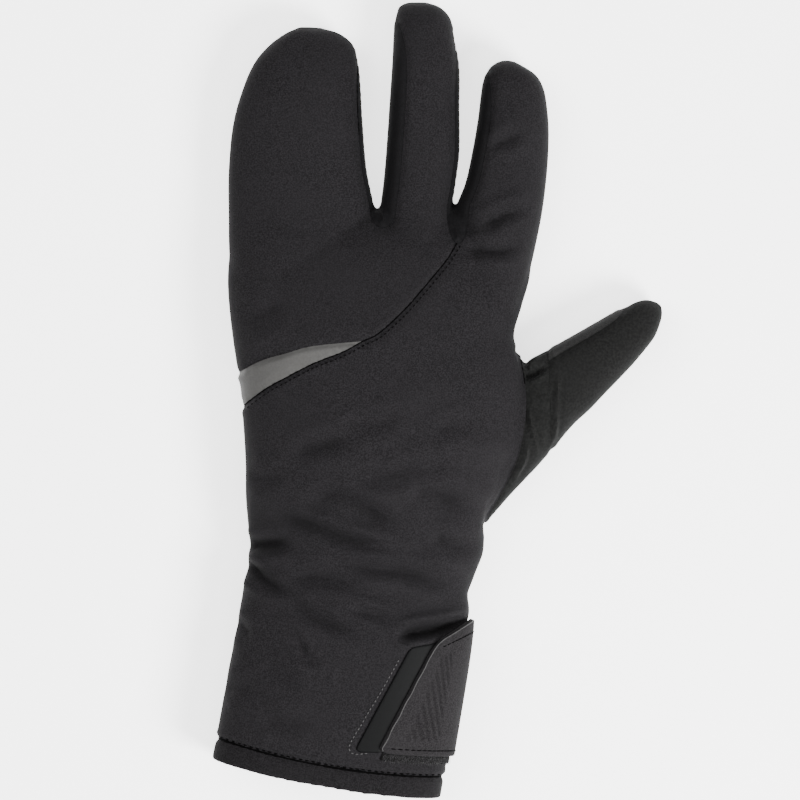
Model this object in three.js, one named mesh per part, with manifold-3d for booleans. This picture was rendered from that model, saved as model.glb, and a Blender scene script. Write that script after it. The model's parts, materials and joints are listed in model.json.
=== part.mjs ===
/*
 * A left-hand winter cycling mitt of the lobster claw kind: the ring and little
 * finger share one wide finger, the middle finger, index finger and thumb each
 * have their own. It lies palm down, as it would on a table.
 *
 * The whole mitt is first made as one hollow shell, open at the cuff: tubes
 * lofted through the sections in the tables below are joined, and the same tubes
 * made smaller by the wall are cut out of them. The shell is then cut along the
 * seams into the panels that the real mitt is sewn from. The closing strap and
 * what lies under it are layers laid over the cuff.
 *
 * Millimetres. +Y points to the fingertips, +X to the thumb, +Z out of the back
 * of the hand. The origin is on the table, under the middle of the palm.
 */
import * as THREE from 'three';
import { mergeVertices } from 'three/addons/utils/BufferGeometryUtils.js';
import Module from 'manifold-3d';

// Hand and cuff
const PALM_WIDTH = 115; // across the knuckles
const PALM_LENGTH = 115; // wrist to the line of the finger crotches
const PALM_THICKNESS = 37; // table to the highest point of the back
const WRIST_TO_ORIGIN = 45.6; // wrist to the middle of the palm
const CUFF_WIDTH = 88;
const CUFF_THICKNESS = 33;
const CUFF_LENGTH = 91; // wrist to the hem seam, along the cuff
const CUFF_LEAN = 9.6; // degrees that the cuff turns off the hand's line
const CUFF_BEND = 30; // length over which it turns, below the wrist
const HEM_DEPTH = 8.4;
const HEM_BOW = 3; // how far the hem's middle stands past its ends

// Fingers, measured from the line of the crotches, and the thumb
const RING_LITTLE_LENGTH = 72.6;
const RING_LITTLE_WIDTH = 56;
const RING_LITTLE_THICKNESS = 25;
const MIDDLE_LENGTH = 82;
const MIDDLE_WIDTH = 28;
const MIDDLE_THICKNESS = 23.5;
const INDEX_LENGTH = 60;
const INDEX_WIDTH = 33.5;
const INDEX_THICKNESS = 23.5;
const INDEX_LEAN = 5.5; // degrees off the hand's line, towards the thumb
const THUMB_LENGTH = 77; // from where its middle line leaves the hand
const THUMB_WIDTH = 32;
const THUMB_THICKNESS = 25;
const THUMB_LEAN = 49.4;

// Cloth and seams
const WALL = 3; // shell, padding and lining together
const SEAM_GAP = 0.3; // between two panels, and between two layers
const SIDE_SEAM_HEIGHT = 9.5; // the seam between back and palm, above the table
const FOLD_DEPTH = 2.2; // of the deepest fold at the wrist
const FOLD_WIDTH = 3.2;
const WRIST_SEAM_DROP = 2; // the palm panel ends this far below the wrist

// Finger side strips, how far each shows on the back beside its seam
const MIDDLE_STRIP = 5;
const INDEX_STRIP = 3.6;
const THUMB_STRIP = 3.2;
const FAR_STRIP = 3.4; // the same on the finger's other edge, in its side wall
const RING_MIDDLE_CROTCH_DROP = 4.5; // how far each strip dips into the back
const MIDDLE_INDEX_CROTCH_DROP = 11;

// Closing strap, over the thumb side of the cuff
const STRAP_THICKNESS = 1.8;
const UNDERLAY_THICKNESS = 1;
const STRAP_OVERLAP = 1.5; // of the strap over the tape beside it
const LOOP_EDGE = 3; // how far the loop patch shows below the strap

// How finely the shell is made
const BODY_POINTS = 24; // round a section
const DIGIT_POINTS = 16;
const LINING_SHARE = 0.75; // points round the lining, against the outside
const CUFF_SECTIONS = 20;
const PALM_SECTIONS = 14;
const DIGIT_SECTIONS = 12;

const CUFF_REACH = CUFF_LENGTH + HEM_DEPTH;
const BEYOND = CUFF_REACH + PALM_LENGTH + MIDDLE_LENGTH; // past every edge

/*
 * Sections of the hand, from the wrist (0) to the crotches (1) in shares of
 * PALM_LENGTH. left and right are shares of PALM_WIDTH from the hand's middle
 * line, top and lift shares of PALM_THICKNESS above the table.
 */
const PALM_ROWS = [
  { along: 0.05, left: 0.396, right: 0.408, top: 0.89, lift: 0 },
  { along: 0.1, left: 0.398, right: 0.44, top: 0.92, lift: 0 },
  { along: 0.175, left: 0.398, right: 0.479, top: 0.96, lift: 0 },
  { along: 0.25, left: 0.401, right: 0.522, top: 0.99, lift: 0 },
  { along: 0.33, left: 0.406, right: 0.54, top: 1, lift: 0 },
  { along: 0.42, left: 0.413, right: 0.545, top: 1, lift: 0 },
  { along: 0.52, left: 0.428, right: 0.525, top: 0.99, lift: 0 },
  { along: 0.6, left: 0.44, right: 0.489, top: 0.97, lift: 0 },
  { along: 0.7, left: 0.452, right: 0.513, top: 0.92, lift: 0 },
  { along: 0.8, left: 0.457, right: 0.541, top: 0.85, lift: 0 },
  { along: 0.9, left: 0.45, right: 0.548, top: 0.75, lift: 0 },
  { along: 0.97, left: 0.44, right: 0.545, top: 0.63, lift: 0.03 },
  { along: 1.01, left: 0.43, right: 0.535, top: 0.52, lift: 0.08 },
  { along: 1.03, left: 0.42, right: 0.525, top: 0.38, lift: 0.14 },
];

// Sections of the cuff, from the wrist (0) to its edge (1), in shares of
// CUFF_REACH, CUFF_WIDTH and CUFF_THICKNESS.
const CUFF_ROWS = [
  { along: 0, left: 0.511, right: 0.516, top: 0.97, lift: 0 },
  { along: 0.06, left: 0.505, right: 0.5, top: 0.95, lift: 0 },
  { along: 0.12, left: 0.499, right: 0.49, top: 0.93, lift: 0 },
  { along: 0.19, left: 0.498, right: 0.473, top: 0.93, lift: 0 },
  { along: 0.23, left: 0.499, right: 0.454, top: 0.94, lift: 0 },
  { along: 0.27, left: 0.5, right: 0.463, top: 0.95, lift: 0 },
  { along: 0.32, left: 0.502, right: 0.477, top: 0.97, lift: 0 },
  { along: 0.45, left: 0.502, right: 0.486, top: 1, lift: 0 },
  { along: 0.7, left: 0.507, right: 0.488, top: 1, lift: 0 },
  { along: 0.9, left: 0.51, right: 0.488, top: 0.97, lift: 0 },
  { along: 1, left: 0.513, right: 0.488, top: 0.95, lift: 0 },
];

/*
 * The digits. Each root lies on the palm, in shares of PALM_WIDTH and
 * PALM_LENGTH. A row's along is a share of the digit's length, minus inside the
 * hand, left and right are shares of its width from its middle line, and top and
 * lift shares of its thickness.
 */
const DIGITS = {
  ringLittle: {
    length: RING_LITTLE_LENGTH,
    width: RING_LITTLE_WIDTH,
    thickness: RING_LITTLE_THICKNESS,
    lean: 0,
    root: { across: -0.218, along: 1 },
    rows: [
      { along: -0.45, left: 0.46, right: 0.46, top: 0.8, lift: 0.02 },
      { along: -0.2, left: 0.482, right: 0.5, top: 0.92, lift: 0.03 },
      { along: 0, left: 0.486, right: 0.514, top: 0.98, lift: 0.06 },
      { along: 0.25, left: 0.486, right: 0.453, top: 1, lift: 0.1 },
      { along: 0.5, left: 0.453, right: 0.426, top: 1, lift: 0.12 },
      { along: 0.7, left: 0.378, right: 0.412, top: 0.96, lift: 0.11 },
      { along: 0.82, left: 0.304, right: 0.399, top: 0.9, lift: 0.1 },
      { along: 0.91, left: 0.203, right: 0.358, top: 0.79, lift: 0.11 },
      { along: 0.97, left: 0.095, right: 0.264, top: 0.65, lift: 0.16 },
      { along: 1, left: 0.007, right: 0.142, top: 0.48, lift: 0.24 },
    ],
  },
  middle: {
    length: MIDDLE_LENGTH,
    width: MIDDLE_WIDTH,
    thickness: MIDDLE_THICKNESS,
    lean: 0,
    root: { across: 0.178, along: 1 },
    rows: [
      { along: -0.35, left: 0.49, right: 0.46, top: 0.8, lift: 0.02 },
      { along: -0.12, left: 0.52, right: 0.46, top: 0.92, lift: 0.03 },
      { along: 0, left: 0.55, right: 0.44, top: 0.98, lift: 0.06 },
      { along: 0.15, left: 0.5, right: 0.5, top: 1, lift: 0.1 },
      { along: 0.3, left: 0.46, right: 0.54, top: 1, lift: 0.12 },
      { along: 0.5, left: 0.42, right: 0.54, top: 1, lift: 0.13 },
      { along: 0.7, left: 0.38, right: 0.54, top: 0.98, lift: 0.12 },
      { along: 0.85, left: 0.36, right: 0.475, top: 0.92, lift: 0.11 },
      { along: 0.93, left: 0.34, right: 0.41, top: 0.83, lift: 0.12 },
      { along: 0.98, left: 0.285, right: 0.27, top: 0.68, lift: 0.18 },
      { along: 1, left: 0.2, right: 0.11, top: 0.52, lift: 0.26 },
    ],
  },
  index: {
    length: INDEX_LENGTH,
    width: INDEX_WIDTH,
    thickness: INDEX_THICKNESS,
    lean: INDEX_LEAN,
    root: { across: 0.433, along: 1 },
    rows: [
      { along: -0.6, left: 0.4, right: 0.34, top: 0.74, lift: 0.02 },
      { along: -0.3, left: 0.42, right: 0.435, top: 0.86, lift: 0.03 },
      { along: 0, left: 0.51, right: 0.5, top: 0.98, lift: 0.05 },
      { along: 0.2, left: 0.403, right: 0.517, top: 1, lift: 0.1 },
      { along: 0.4, left: 0.352, right: 0.517, top: 1, lift: 0.12 },
      { along: 0.6, left: 0.324, right: 0.489, top: 1, lift: 0.13 },
      { along: 0.75, left: 0.318, right: 0.44, top: 0.97, lift: 0.12 },
      { along: 0.85, left: 0.307, right: 0.384, top: 0.91, lift: 0.11 },
      { along: 0.93, left: 0.267, right: 0.278, top: 0.81, lift: 0.12 },
      { along: 0.98, left: 0.18, right: 0.108, top: 0.66, lift: 0.18 },
      { along: 1, left: 0.11, right: 0.02, top: 0.52, lift: 0.26 },
    ],
  },
  thumb: {
    length: THUMB_LENGTH,
    width: THUMB_WIDTH,
    thickness: THUMB_THICKNESS,
    lean: THUMB_LEAN,
    root: { across: 0.468, along: 0.272 },
    rows: [
      { along: -0.36, left: 0.45, right: 0.62, top: 0.86, lift: 0.03 },
      { along: -0.17, left: 0.5, right: 0.54, top: 0.95, lift: 0.03 },
      { along: 0, left: 0.53, right: 0.497, top: 1, lift: 0.03 },
      { along: 0.2, left: 0.53, right: 0.425, top: 1, lift: 0.03 },
      { along: 0.3, left: 0.525, right: 0.39, top: 0.98, lift: 0.04 },
      { along: 0.4, left: 0.49, right: 0.384, top: 0.95, lift: 0.05 },
      { along: 0.5, left: 0.453, right: 0.359, top: 0.92, lift: 0.06 },
      { along: 0.6, left: 0.406, right: 0.337, top: 0.9, lift: 0.07 },
      { along: 0.7, left: 0.36, right: 0.312, top: 0.88, lift: 0.08 },
      { along: 0.8, left: 0.312, right: 0.272, top: 0.84, lift: 0.08 },
      { along: 0.88, left: 0.26, right: 0.228, top: 0.78, lift: 0.09 },
      { along: 0.94, left: 0.21, right: 0.153, top: 0.7, lift: 0.12 },
      { along: 0.975, left: 0.15, right: 0.094, top: 0.6, lift: 0.16 },
      { along: 1, left: 0.055, right: 0.02, top: 0.48, lift: 0.24 },
    ],
  },
};

/*
 * Folds pressed into the back of the cuff, each from one end to the other.
 * across is a share of CUFF_WIDTH from the middle line and along a share of
 * CUFF_REACH below the wrist, minus above it. depth is a share of FOLD_DEPTH.
 */
const CUFF_FOLDS = [
  { across: -0.52, along: 0.1, toAcross: -0.3, toAlong: 0.1, depth: 1 },
  { across: -0.36, along: -0.01, toAcross: 0.24, toAlong: 0.13, depth: 0.55 },
  { across: -0.1, along: -0.07, toAcross: 0.2, toAlong: 0.03, depth: 0.35 },
  { across: -0.52, along: 0.18, toAcross: -0.28, toAlong: 0.27, depth: 1 },
  { across: -0.28, along: 0.27, toAcross: 0.04, toAlong: 0.4, depth: 0.55 },
  { across: -0.3, along: 0.2, toAcross: 0.08, toAlong: 0.27, depth: 0.35 },
  { across: 0.2, along: 0.22, toAcross: 0.44, toAlong: 0.31, depth: 0.6 },
  { across: 0.16, along: -0.1, toAcross: 0.46, toAlong: 0.1, depth: 0.4 },
  { across: 0.2, along: 0.42, toAcross: 0.5, toAlong: 0.3, depth: 0.9 },
];

// The seam across the back, from the crotch beside the index finger down to the
// point of the reflective wedge, then the wedge's two edges out to the little
// finger's side. Shares of PALM_WIDTH and PALM_LENGTH.
const BACK_SEAM = [
  { across: 0.29, along: 0.876 },
  { across: 0.235, along: 0.824 },
  { across: 0.169, along: 0.758 },
  { across: 0.112, along: 0.692 },
  { across: 0.036, along: 0.616 },
];
const WEDGE_POINT = { across: -0.007, along: 0.59 };
const WEDGE_TOP = [
  { across: -0.172, along: 0.578 },
  { across: -0.264, along: 0.558 },
  { across: -0.36, along: 0.53 },
  { across: -0.5, along: 0.455 },
];
const WEDGE_BOTTOM = [
  { across: -0.076, along: 0.553 },
  { across: -0.172, along: 0.515 },
  { across: -0.264, along: 0.468 },
  { across: -0.34, along: 0.425 },
  { across: -0.48, along: 0.32 },
];

// Where the back panel's edge bows round the thumb, in shares of PALM_LENGTH.
const THUMB_SIDE = { leaves: 0.59, top: 0.56, bottom: 0.03, steps: 8 };

// Where the thumb is sewn to the palm panel, on its two edges, and where the
// strip along its upper edge starts, in shares of THUMB_LENGTH.
const THUMB_SEAM = { left: 0.42, right: 0.17, strip: 0.34 };

// Corners of the strap and of the tape beside it, in shares of CUFF_WIDTH and
// CUFF_REACH.
const STRAP = {
  tip: { across: 0.351, along: 0.41 },
  toe: { across: 0.21, along: 0.84 },
  topAside: { across: 0.7, along: 0.2 },
  bottomAside: { across: 0.7, along: 0.835 },
};
const TAPE = {
  tip: { across: 0.25, along: 0.44 },
  toe: { across: 0.085, along: 0.85 },
};

const wasm = await Module();
wasm.setup();

const radians = THREE.MathUtils.degToRad;

// A closed three.js geometry as a solid that can be joined and cut.
function solid(geometry) {
  const bare = new THREE.BufferGeometry();
  const loose = geometry.index ? geometry.toNonIndexed() : geometry;
  bare.setAttribute('position', loose.getAttribute('position').clone());
  const merged = mergeVertices(bare, 1e-4);
  return new wasm.Manifold(
    new wasm.Mesh({
      numProp: 3,
      vertProperties: merged.attributes.position.array,
      triVerts: new Uint32Array(merged.index.array),
    }),
  );
}

// A solid as a three.js geometry.
function geometryOf(made) {
  const { vertProperties, triVerts } = made.getMesh();
  const geometry = new THREE.BufferGeometry();
  geometry.setAttribute(
    'position',
    new THREE.BufferAttribute(vertProperties, 3),
  );
  geometry.setIndex(new THREE.BufferAttribute(triVerts, 1));
  const faceted = geometry.toNonIndexed();
  faceted.computeVertexNormals();
  return faceted;
}

// The largest connected body of a cut, without crumbs at its edges.
function mainBody(made) {
  return made
    .decompose()
    .reduce((best, body) => (body.volume() > best.volume() ? body : best));
}

// One column of a table at a position between its rows, on a smooth curve.
function column(rows, name, along) {
  const last = rows.length - 1;
  const place = THREE.MathUtils.clamp(along, rows[0].along, rows[last].along);
  let i = 0;
  while (i < last - 1 && rows[i + 1].along < place) i += 1;
  const [a, b] = [rows[i], rows[i + 1]];
  const slope = (k) => {
    const [p, q] = [rows[Math.max(k - 1, 0)], rows[Math.min(k + 1, last)]];
    return (q[name] - p[name]) / (q.along - p.along);
  };
  const span = b.along - a.along;
  const t = (place - a.along) / span;
  const [t2, t3] = [t * t, t * t * t];
  return (
    (2 * t3 - 3 * t2 + 1) * a[name] +
    (t3 - 2 * t2 + t) * span * slope(i) +
    (3 * t2 - 2 * t3) * b[name] +
    (t3 - t2) * span * slope(i + 1)
  );
}

// A row in millimetres, from tables that hold shares.
function row(rows, along, size) {
  return {
    along: along * size.length,
    left: column(rows, 'left', along) * size.width,
    right: column(rows, 'right', along) * size.width,
    top: column(rows, 'top', along) * size.thickness,
    lift: Math.max(column(rows, 'lift', along), 0) * size.thickness,
  };
}

// Plan position of a point beside the hand's middle line. along runs up from
// the wrist, and below it follows the bend and the lean of the cuff.
function bodyPlan(across, along) {
  if (along >= 0) return new THREE.Vector2(across, along - WRIST_TO_ORIGIN);
  const radius = CUFF_BEND / radians(CUFF_LEAN);
  const turn = Math.min(-along, CUFF_BEND) / radius;
  const straight = Math.max(-along - CUFF_BEND, 0);
  const down = new THREE.Vector2(-Math.sin(turn), -Math.cos(turn));
  const right = new THREE.Vector2(Math.cos(turn), -Math.sin(turn));
  return new THREE.Vector2(
    -radius * (1 - Math.cos(turn)),
    -WRIST_TO_ORIGIN - radius * Math.sin(turn),
  )
    .addScaledVector(down, straight)
    .addScaledVector(right, across);
}

// How far the cuff's sections bow out at a point, growing towards the hem.
function bow(across, along) {
  const down = THREE.MathUtils.clamp(-along / CUFF_LENGTH, 0, 1);
  const side = THREE.MathUtils.clamp(across / (CUFF_WIDTH / 2), -1, 1);
  return HEM_BOW * down * down * (1 - side * side);
}

// Plan position of a point beside a digit's middle line.
function digitPlan(digit, across, along) {
  const root = bodyPlan(
    digit.root.across * PALM_WIDTH,
    digit.root.along * PALM_LENGTH,
  );
  const lean = radians(digit.lean);
  return root
    .addScaledVector(new THREE.Vector2(Math.sin(lean), Math.cos(lean)), along)
    .addScaledVector(new THREE.Vector2(Math.cos(lean), -Math.sin(lean)), across);
}

// Depth of the folds at a point of the cuff's back: each is a trough round the
// line between its ends.
function foldDepth(across, along) {
  const here = new THREE.Vector3(across, along, 0);
  return CUFF_FOLDS.reduce((sum, fold) => {
    const line = new THREE.Line3(
      new THREE.Vector3(fold.across * CUFF_WIDTH, -fold.along * CUFF_REACH, 0),
      new THREE.Vector3(fold.toAcross * CUFF_WIDTH, -fold.toAlong * CUFF_REACH, 0),
    );
    const nearest = line.closestPointToPoint(here, true, new THREE.Vector3());
    const away = nearest.distanceTo(here) / FOLD_WIDTH;
    return sum + fold.depth * FOLD_DEPTH * Math.exp(-away * away);
  }, 0);
}

/*
 * One section of a tube: a rounded outline with its underside flattened, as
 * points of {across, up}. Its corner points are thinned out and its flat top is
 * filled by shifting each angle.
 */
function section({ left, right, top, lift }, points) {
  const roundness = 2 / 2.35;
  const middle = lift + 0.45 * (top - lift);
  const flattened = 1.18;
  return Array.from({ length: points }, (_, i) => {
    const even = (2 * Math.PI * i) / points;
    const angle = even + 0.22 * Math.sin(2 * even);
    const [c, s] = [Math.cos(angle), Math.sin(angle)];
    const side = Math.sign(c) * Math.abs(c) ** roundness;
    const rise = Math.abs(s) ** roundness;
    return {
      across: side * (c > 0 ? right : left),
      up:
        s > 0
          ? middle + rise * (top - middle)
          : Math.max(lift, middle - flattened * rise * (middle - lift)),
    };
  });
}

// A closed tube through rings of points, with a fan over each end.
function loft(rings) {
  const count = rings[0].length;
  const triangles = [];
  const quad = (a, b, c, d) => triangles.push(a, b, c, a, c, d);
  for (let r = 0; r + 1 < rings.length; r += 1) {
    for (let i = 0; i < count; i += 1) {
      const j = (i + 1) % count;
      quad(rings[r][i], rings[r + 1][i], rings[r + 1][j], rings[r][j]);
    }
  }
  const middle = (ring) =>
    ring
      .reduce((sum, p) => sum.add(p), new THREE.Vector3())
      .divideScalar(count);
  const [first, last] = [rings[0], rings[rings.length - 1]];
  for (let i = 0; i < count; i += 1) {
    const j = (i + 1) % count;
    triangles.push(middle(first), first[i], first[j]);
    triangles.push(middle(last), last[j], last[i]);
  }
  return solid(new THREE.BufferGeometry().setFromPoints(triangles));
}

// A section made smaller all round by the wall, or larger by a minus wall.
function shrunk(r, wall) {
  return {
    ...r,
    left: r.left - wall,
    right: r.right - wall,
    top: r.top - wall,
    lift: r.lift + Math.max(wall, 0),
  };
}

// The sections of the hand and cuff in millimetres, from the cuff's edge up.
function bodySections() {
  const cuff = { length: CUFF_REACH, width: CUFF_WIDTH, thickness: CUFF_THICKNESS };
  const palm = { length: PALM_LENGTH, width: PALM_WIDTH, thickness: PALM_THICKNESS };
  const sections = [];
  for (let i = CUFF_SECTIONS; i >= 0; i -= 1) {
    const r = row(CUFF_ROWS, i / CUFF_SECTIONS, cuff);
    sections.push({ ...r, along: -r.along });
  }
  const start = PALM_ROWS[0].along;
  const end = PALM_ROWS[PALM_ROWS.length - 1].along;
  for (let i = 0; i <= PALM_SECTIONS; i += 1)
    sections.push(row(PALM_ROWS, start + ((end - start) * i) / PALM_SECTIONS, palm));
  return sections;
}

/*
 * The tube of the hand and cuff. inset makes it smaller all round, folded says
 * whether the folds are pressed in, and past lengthens it beyond the cuff's edge.
 */
function bodyTube({ inset = 0, folded = true, past = 0 } = {}) {
  const stations = bodySections();
  stations[stations.length - 1].along -= inset;
  if (past > 0) stations.unshift({ ...stations[0], along: stations[0].along - past });
  const points = Math.round(BODY_POINTS * (inset > 0 ? LINING_SHARE : 1));
  return loft(
    stations.map((station) => {
      const r = shrunk(station, inset);
      const middle = (r.top + r.lift) / 2;
      return section(r, points).map(({ across, up }) => {
        const plan = bodyPlan(across, station.along - bow(across, station.along));
        const share = Math.max((up - middle) / (r.top - middle), 0);
        const pressed = folded ? share * foldDepth(across, station.along) : 0;
        return new THREE.Vector3(plan.x, plan.y, up - pressed);
      });
    }),
  );
}

// The tube of a digit. inset makes it smaller all round and shorter at both ends.
function digitTube(digit, inset = 0) {
  const { length, width, thickness, rows } = digit;
  const size = { length, width, thickness };
  const start = rows[0].along;
  const smallest = 1.2 * WALL;
  const points = Math.round(DIGIT_POINTS * (inset > 0 ? LINING_SHARE : 1));
  const rings = [];
  for (let i = 0; i <= DIGIT_SECTIONS; i += 1) {
    // Sections close up towards the tip, where the digit rounds off.
    const share = start + (1 - start) * Math.sin((Math.PI / 2) * (i / DIGIT_SECTIONS));
    const r = shrunk(row(rows, share, size), inset);
    const narrow = r.left + r.right < smallest || r.top - r.lift < smallest;
    if (inset > 0 && narrow) break;
    const along = r.along - inset * (share > 0 ? share : -share / start);
    rings.push(
      section(r, points).map(({ across, up }) => {
        const plan = digitPlan(digit, across, along);
        return new THREE.Vector3(plan.x, plan.y, up);
      }),
    );
  }
  return loft(rings);
}

// A plan outline made a prism, from one height to another.
function prism(points, low = -BEYOND, high = BEYOND) {
  const made = new THREE.ExtrudeGeometry(new THREE.Shape(points), {
    depth: high - low,
    bevelEnabled: false,
  });
  made.translate(0, 0, low);
  return solid(made);
}

// A thin upright blade along a plan line, which opens the gap of a seam.
function blade(points, low = -BEYOND, high = BEYOND) {
  const side = (offset) =>
    points.map((p, i) => {
      const before = points[Math.max(i - 1, 0)];
      const after = points[Math.min(i + 1, points.length - 1)];
      const run = after.clone().sub(before).normalize();
      return p.clone().addScaledVector(new THREE.Vector2(-run.y, run.x), offset);
    });
  return prism(
    [...side(-SEAM_GAP / 2), ...side(SEAM_GAP / 2).reverse()],
    low,
    high,
  );
}

const palmPoint = ({ across, along }) =>
  bodyPlan(across * PALM_WIDTH, along * PALM_LENGTH);
const cuffPoint = ({ across, along }) =>
  bodyPlan(
    across * CUFF_WIDTH,
    -along * CUFF_REACH - bow(across * CUFF_WIDTH, -along * CUFF_REACH),
  );

// A point near a digit's edge, inset from it. side is left or right.
function digitEdge(digit, side, share, inset) {
  const { length, width, thickness, rows } = digit;
  const r = row(rows, share, { length, width, thickness });
  const across = side === 'left' ? -r.left + inset : r.right - inset;
  return digitPlan(digit, across, r.along);
}

// A line that runs up a digit beside its edge and leaves it at the tip.
function edgeSeam(digit, side, from, to, inset) {
  const steps = 9;
  return Array.from({ length: steps + 1 }, (_, i) => {
    const share = from + ((to - from) * i) / steps;
    const fading = (i / steps) ** 3;
    return digitEdge(digit, side, share, inset - fading * (inset + WALL));
  });
}

// The outline of a finger's side strip: down one finger, round the crotch and
// up the next finger.
function stripOutline(leftDigit, rightDigit, strip, drop) {
  const left = edgeSeam(leftDigit, 'right', 0, 0.93, FAR_STRIP);
  const right = edgeSeam(rightDigit, 'left', 0, 0.97, strip);
  const bottom = left[0].clone().add(right[0]).divideScalar(2);
  const curve = new THREE.CubicBezierCurve(
    left[0],
    new THREE.Vector2(left[0].x, bottom.y - 1.33 * drop),
    new THREE.Vector2(right[0].x, bottom.y - 1.33 * drop),
    right[0],
  );
  return [...left.slice(1).reverse(), ...curve.getPoints(8), ...right.slice(1)];
}

const { ringLittle, middle, index, thumb } = DIGITS;

// The shell, one piece as yet.
const digits = [ringLittle, middle, index, thumb];
const outside = digits.reduce((all, d) => all.add(digitTube(d)), bodyTube());
const inside = digits.reduce(
  (all, d) => all.add(digitTube(d, WALL)),
  bodyTube({ inset: WALL, past: WALL }),
);
const shell = outside.subtract(inside);

// Plan lines of the seams.
const mainSeam = new THREE.SplineCurve([
  digitEdge(middle, 'right', 0, 0)
    .add(digitEdge(index, 'left', 0, 0))
    .divideScalar(2)
    .add(new THREE.Vector2(0, -0.6 * MIDDLE_INDEX_CROTCH_DROP)),
  ...BACK_SEAM.map(palmPoint),
  palmPoint(WEDGE_POINT),
]).getPoints(14);
const wedgeTop = new THREE.SplineCurve(
  [WEDGE_POINT, ...WEDGE_TOP].map(palmPoint),
).getPoints(10);
const wedgeBottom = new THREE.SplineCurve(
  [WEDGE_POINT, ...WEDGE_BOTTOM].map(palmPoint),
).getPoints(12);
const ringMiddleStrip = stripOutline(
  ringLittle,
  middle,
  MIDDLE_STRIP,
  RING_MIDDLE_CROTCH_DROP,
);
const middleIndexStrip = stripOutline(middle, index, INDEX_STRIP, MIDDLE_INDEX_CROTCH_DROP);

// The gap between middle and index finger, from the tips down to the crotch.
const betweenFingers = [1.1, 0.7, 0.4, 0.15].map((share) =>
  digitEdge(middle, 'right', share, -0.4 * WALL),
);

// The edge of the back panel round the thumb, ending outside the hand at both
// ends.
const bodyEdge = (share, inset) =>
  bodyPlan(column(PALM_ROWS, 'right', share) * PALM_WIDTH - inset, share * PALM_LENGTH);
const thumbSeamShares = Array.from(
  { length: THUMB_SIDE.steps + 1 },
  (_, i) => THUMB_SIDE.top + ((THUMB_SIDE.bottom - THUMB_SIDE.top) * i) / THUMB_SIDE.steps,
);
const thumbEdge = [
  bodyEdge(THUMB_SIDE.leaves, -WALL),
  ...thumbSeamShares.map((share) => bodyEdge(share, FAR_STRIP)),
  bodyEdge(0, -WALL),
];

// Where the thumb joins the palm panel, and the upper edge of the thumb.
const thumbSeam = [
  digitEdge(thumb, 'left', THUMB_SEAM.left, -2 * WALL),
  digitEdge(thumb, 'right', THUMB_SEAM.right, -2 * WALL),
];
const thumbStripSeam = edgeSeam(thumb, 'left', THUMB_SEAM.strip, 0.9, THUMB_STRIP);

// A line across the cuff at a height along it, bowed as the cuff's edge is or
// straight.
const acrossCuff = (along, bowed) =>
  [-0.8, -0.5, -0.35, -0.2, 0, 0.2, 0.35, 0.5, 0.8].map((share) => {
    const side = share * CUFF_WIDTH;
    return bodyPlan(side, along - (bowed ? bow(side, along) : 0));
  });
const hemSeam = acrossCuff(-CUFF_LENGTH, true);
const wristSeam = acrossCuff(-WRIST_SEAM_DROP, false);

// Everything on one side of a seam, as prisms.
const belowCuff = [bodyPlan(BEYOND, -BEYOND), bodyPlan(-BEYOND, -BEYOND)];
const hemSide = prism([...hemSeam, ...belowCuff]);
const cuffSide = prism([...wristSeam, ...belowCuff]);
const upperSide = prism([
  ...mainSeam,
  ...wedgeTop.slice(1),
  new THREE.Vector2(-BEYOND, wedgeTop[wedgeTop.length - 1].y),
  new THREE.Vector2(-BEYOND, BEYOND),
  new THREE.Vector2(betweenFingers[0].x, BEYOND),
  ...betweenFingers,
]);
const wedgeSide = prism([...wedgeTop, ...wedgeBottom.slice(1).reverse()]);
const thumbSide = prism([
  ...thumbEdge,
  new THREE.Vector2(BEYOND, thumbEdge[thumbEdge.length - 1].y),
  digitPlan(thumb, -THUMB_WIDTH, 1.4 * THUMB_LENGTH),
]);
const thumbBeyondSeam = prism([
  ...thumbSeam,
  digitPlan(thumb, THUMB_WIDTH, 1.1 * THUMB_LENGTH),
  digitPlan(thumb, -THUMB_WIDTH, 1.1 * THUMB_LENGTH),
]);
const thumbStripSide = prism([
  ...thumbStripSeam,
  digitPlan(thumb, -THUMB_WIDTH, 1.1 * THUMB_LENGTH),
  digitPlan(thumb, -THUMB_WIDTH, 0),
]);
const ringMiddleSide = prism(ringMiddleStrip);
const middleIndexSide = prism(middleIndexStrip);
const everywhere = [
  [-BEYOND, -BEYOND],
  [BEYOND, -BEYOND],
  [BEYOND, BEYOND],
  [-BEYOND, BEYOND],
].map(([x, y]) => new THREE.Vector2(x, y));
const backHeight = SIDE_SEAM_HEIGHT + SEAM_GAP / 2;
const palmHeight = SIDE_SEAM_HEIGHT - SEAM_GAP / 2;
const aboveSideSeam = prism(everywhere, backHeight);
const belowSideSeam = prism(everywhere, -BEYOND, palmHeight);

// The back of the mitt, above the side seam, opened along its seams.
const backSeams = [wedgeTop, wedgeBottom, ringMiddleStrip, middleIndexStrip, thumbEdge, hemSeam]
  .map((line) => blade(line))
  .reduce((all, cut) => all.add(cut), blade(mainSeam));
const hand = shell
  .intersect(aboveSideSeam)
  .subtract(hemSide)
  .subtract(thumbSide)
  .subtract(backSeams);
const panels = hand.subtract(ringMiddleSide).subtract(middleIndexSide);

// The suede: the palm, which runs up over the root of the thumb as far as the
// back's edge, and the thumb itself.
const suedeCuts = blade(thumbEdge, palmHeight).add(blade(wristSeam)).add(blade(thumbSeam));
const suede = shell
  .intersect(belowSideSeam.add(thumbSide))
  .subtract(cuffSide)
  .subtract(suedeCuts);
const thumbTube = suede.intersect(thumbBeyondSeam).subtract(blade(thumbStripSeam, palmHeight));
const thumbStripBody = thumbStripSide.intersect(aboveSideSeam);
const thumbStripCut = thumbStripSide.intersect(prism(everywhere, palmHeight));

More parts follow.
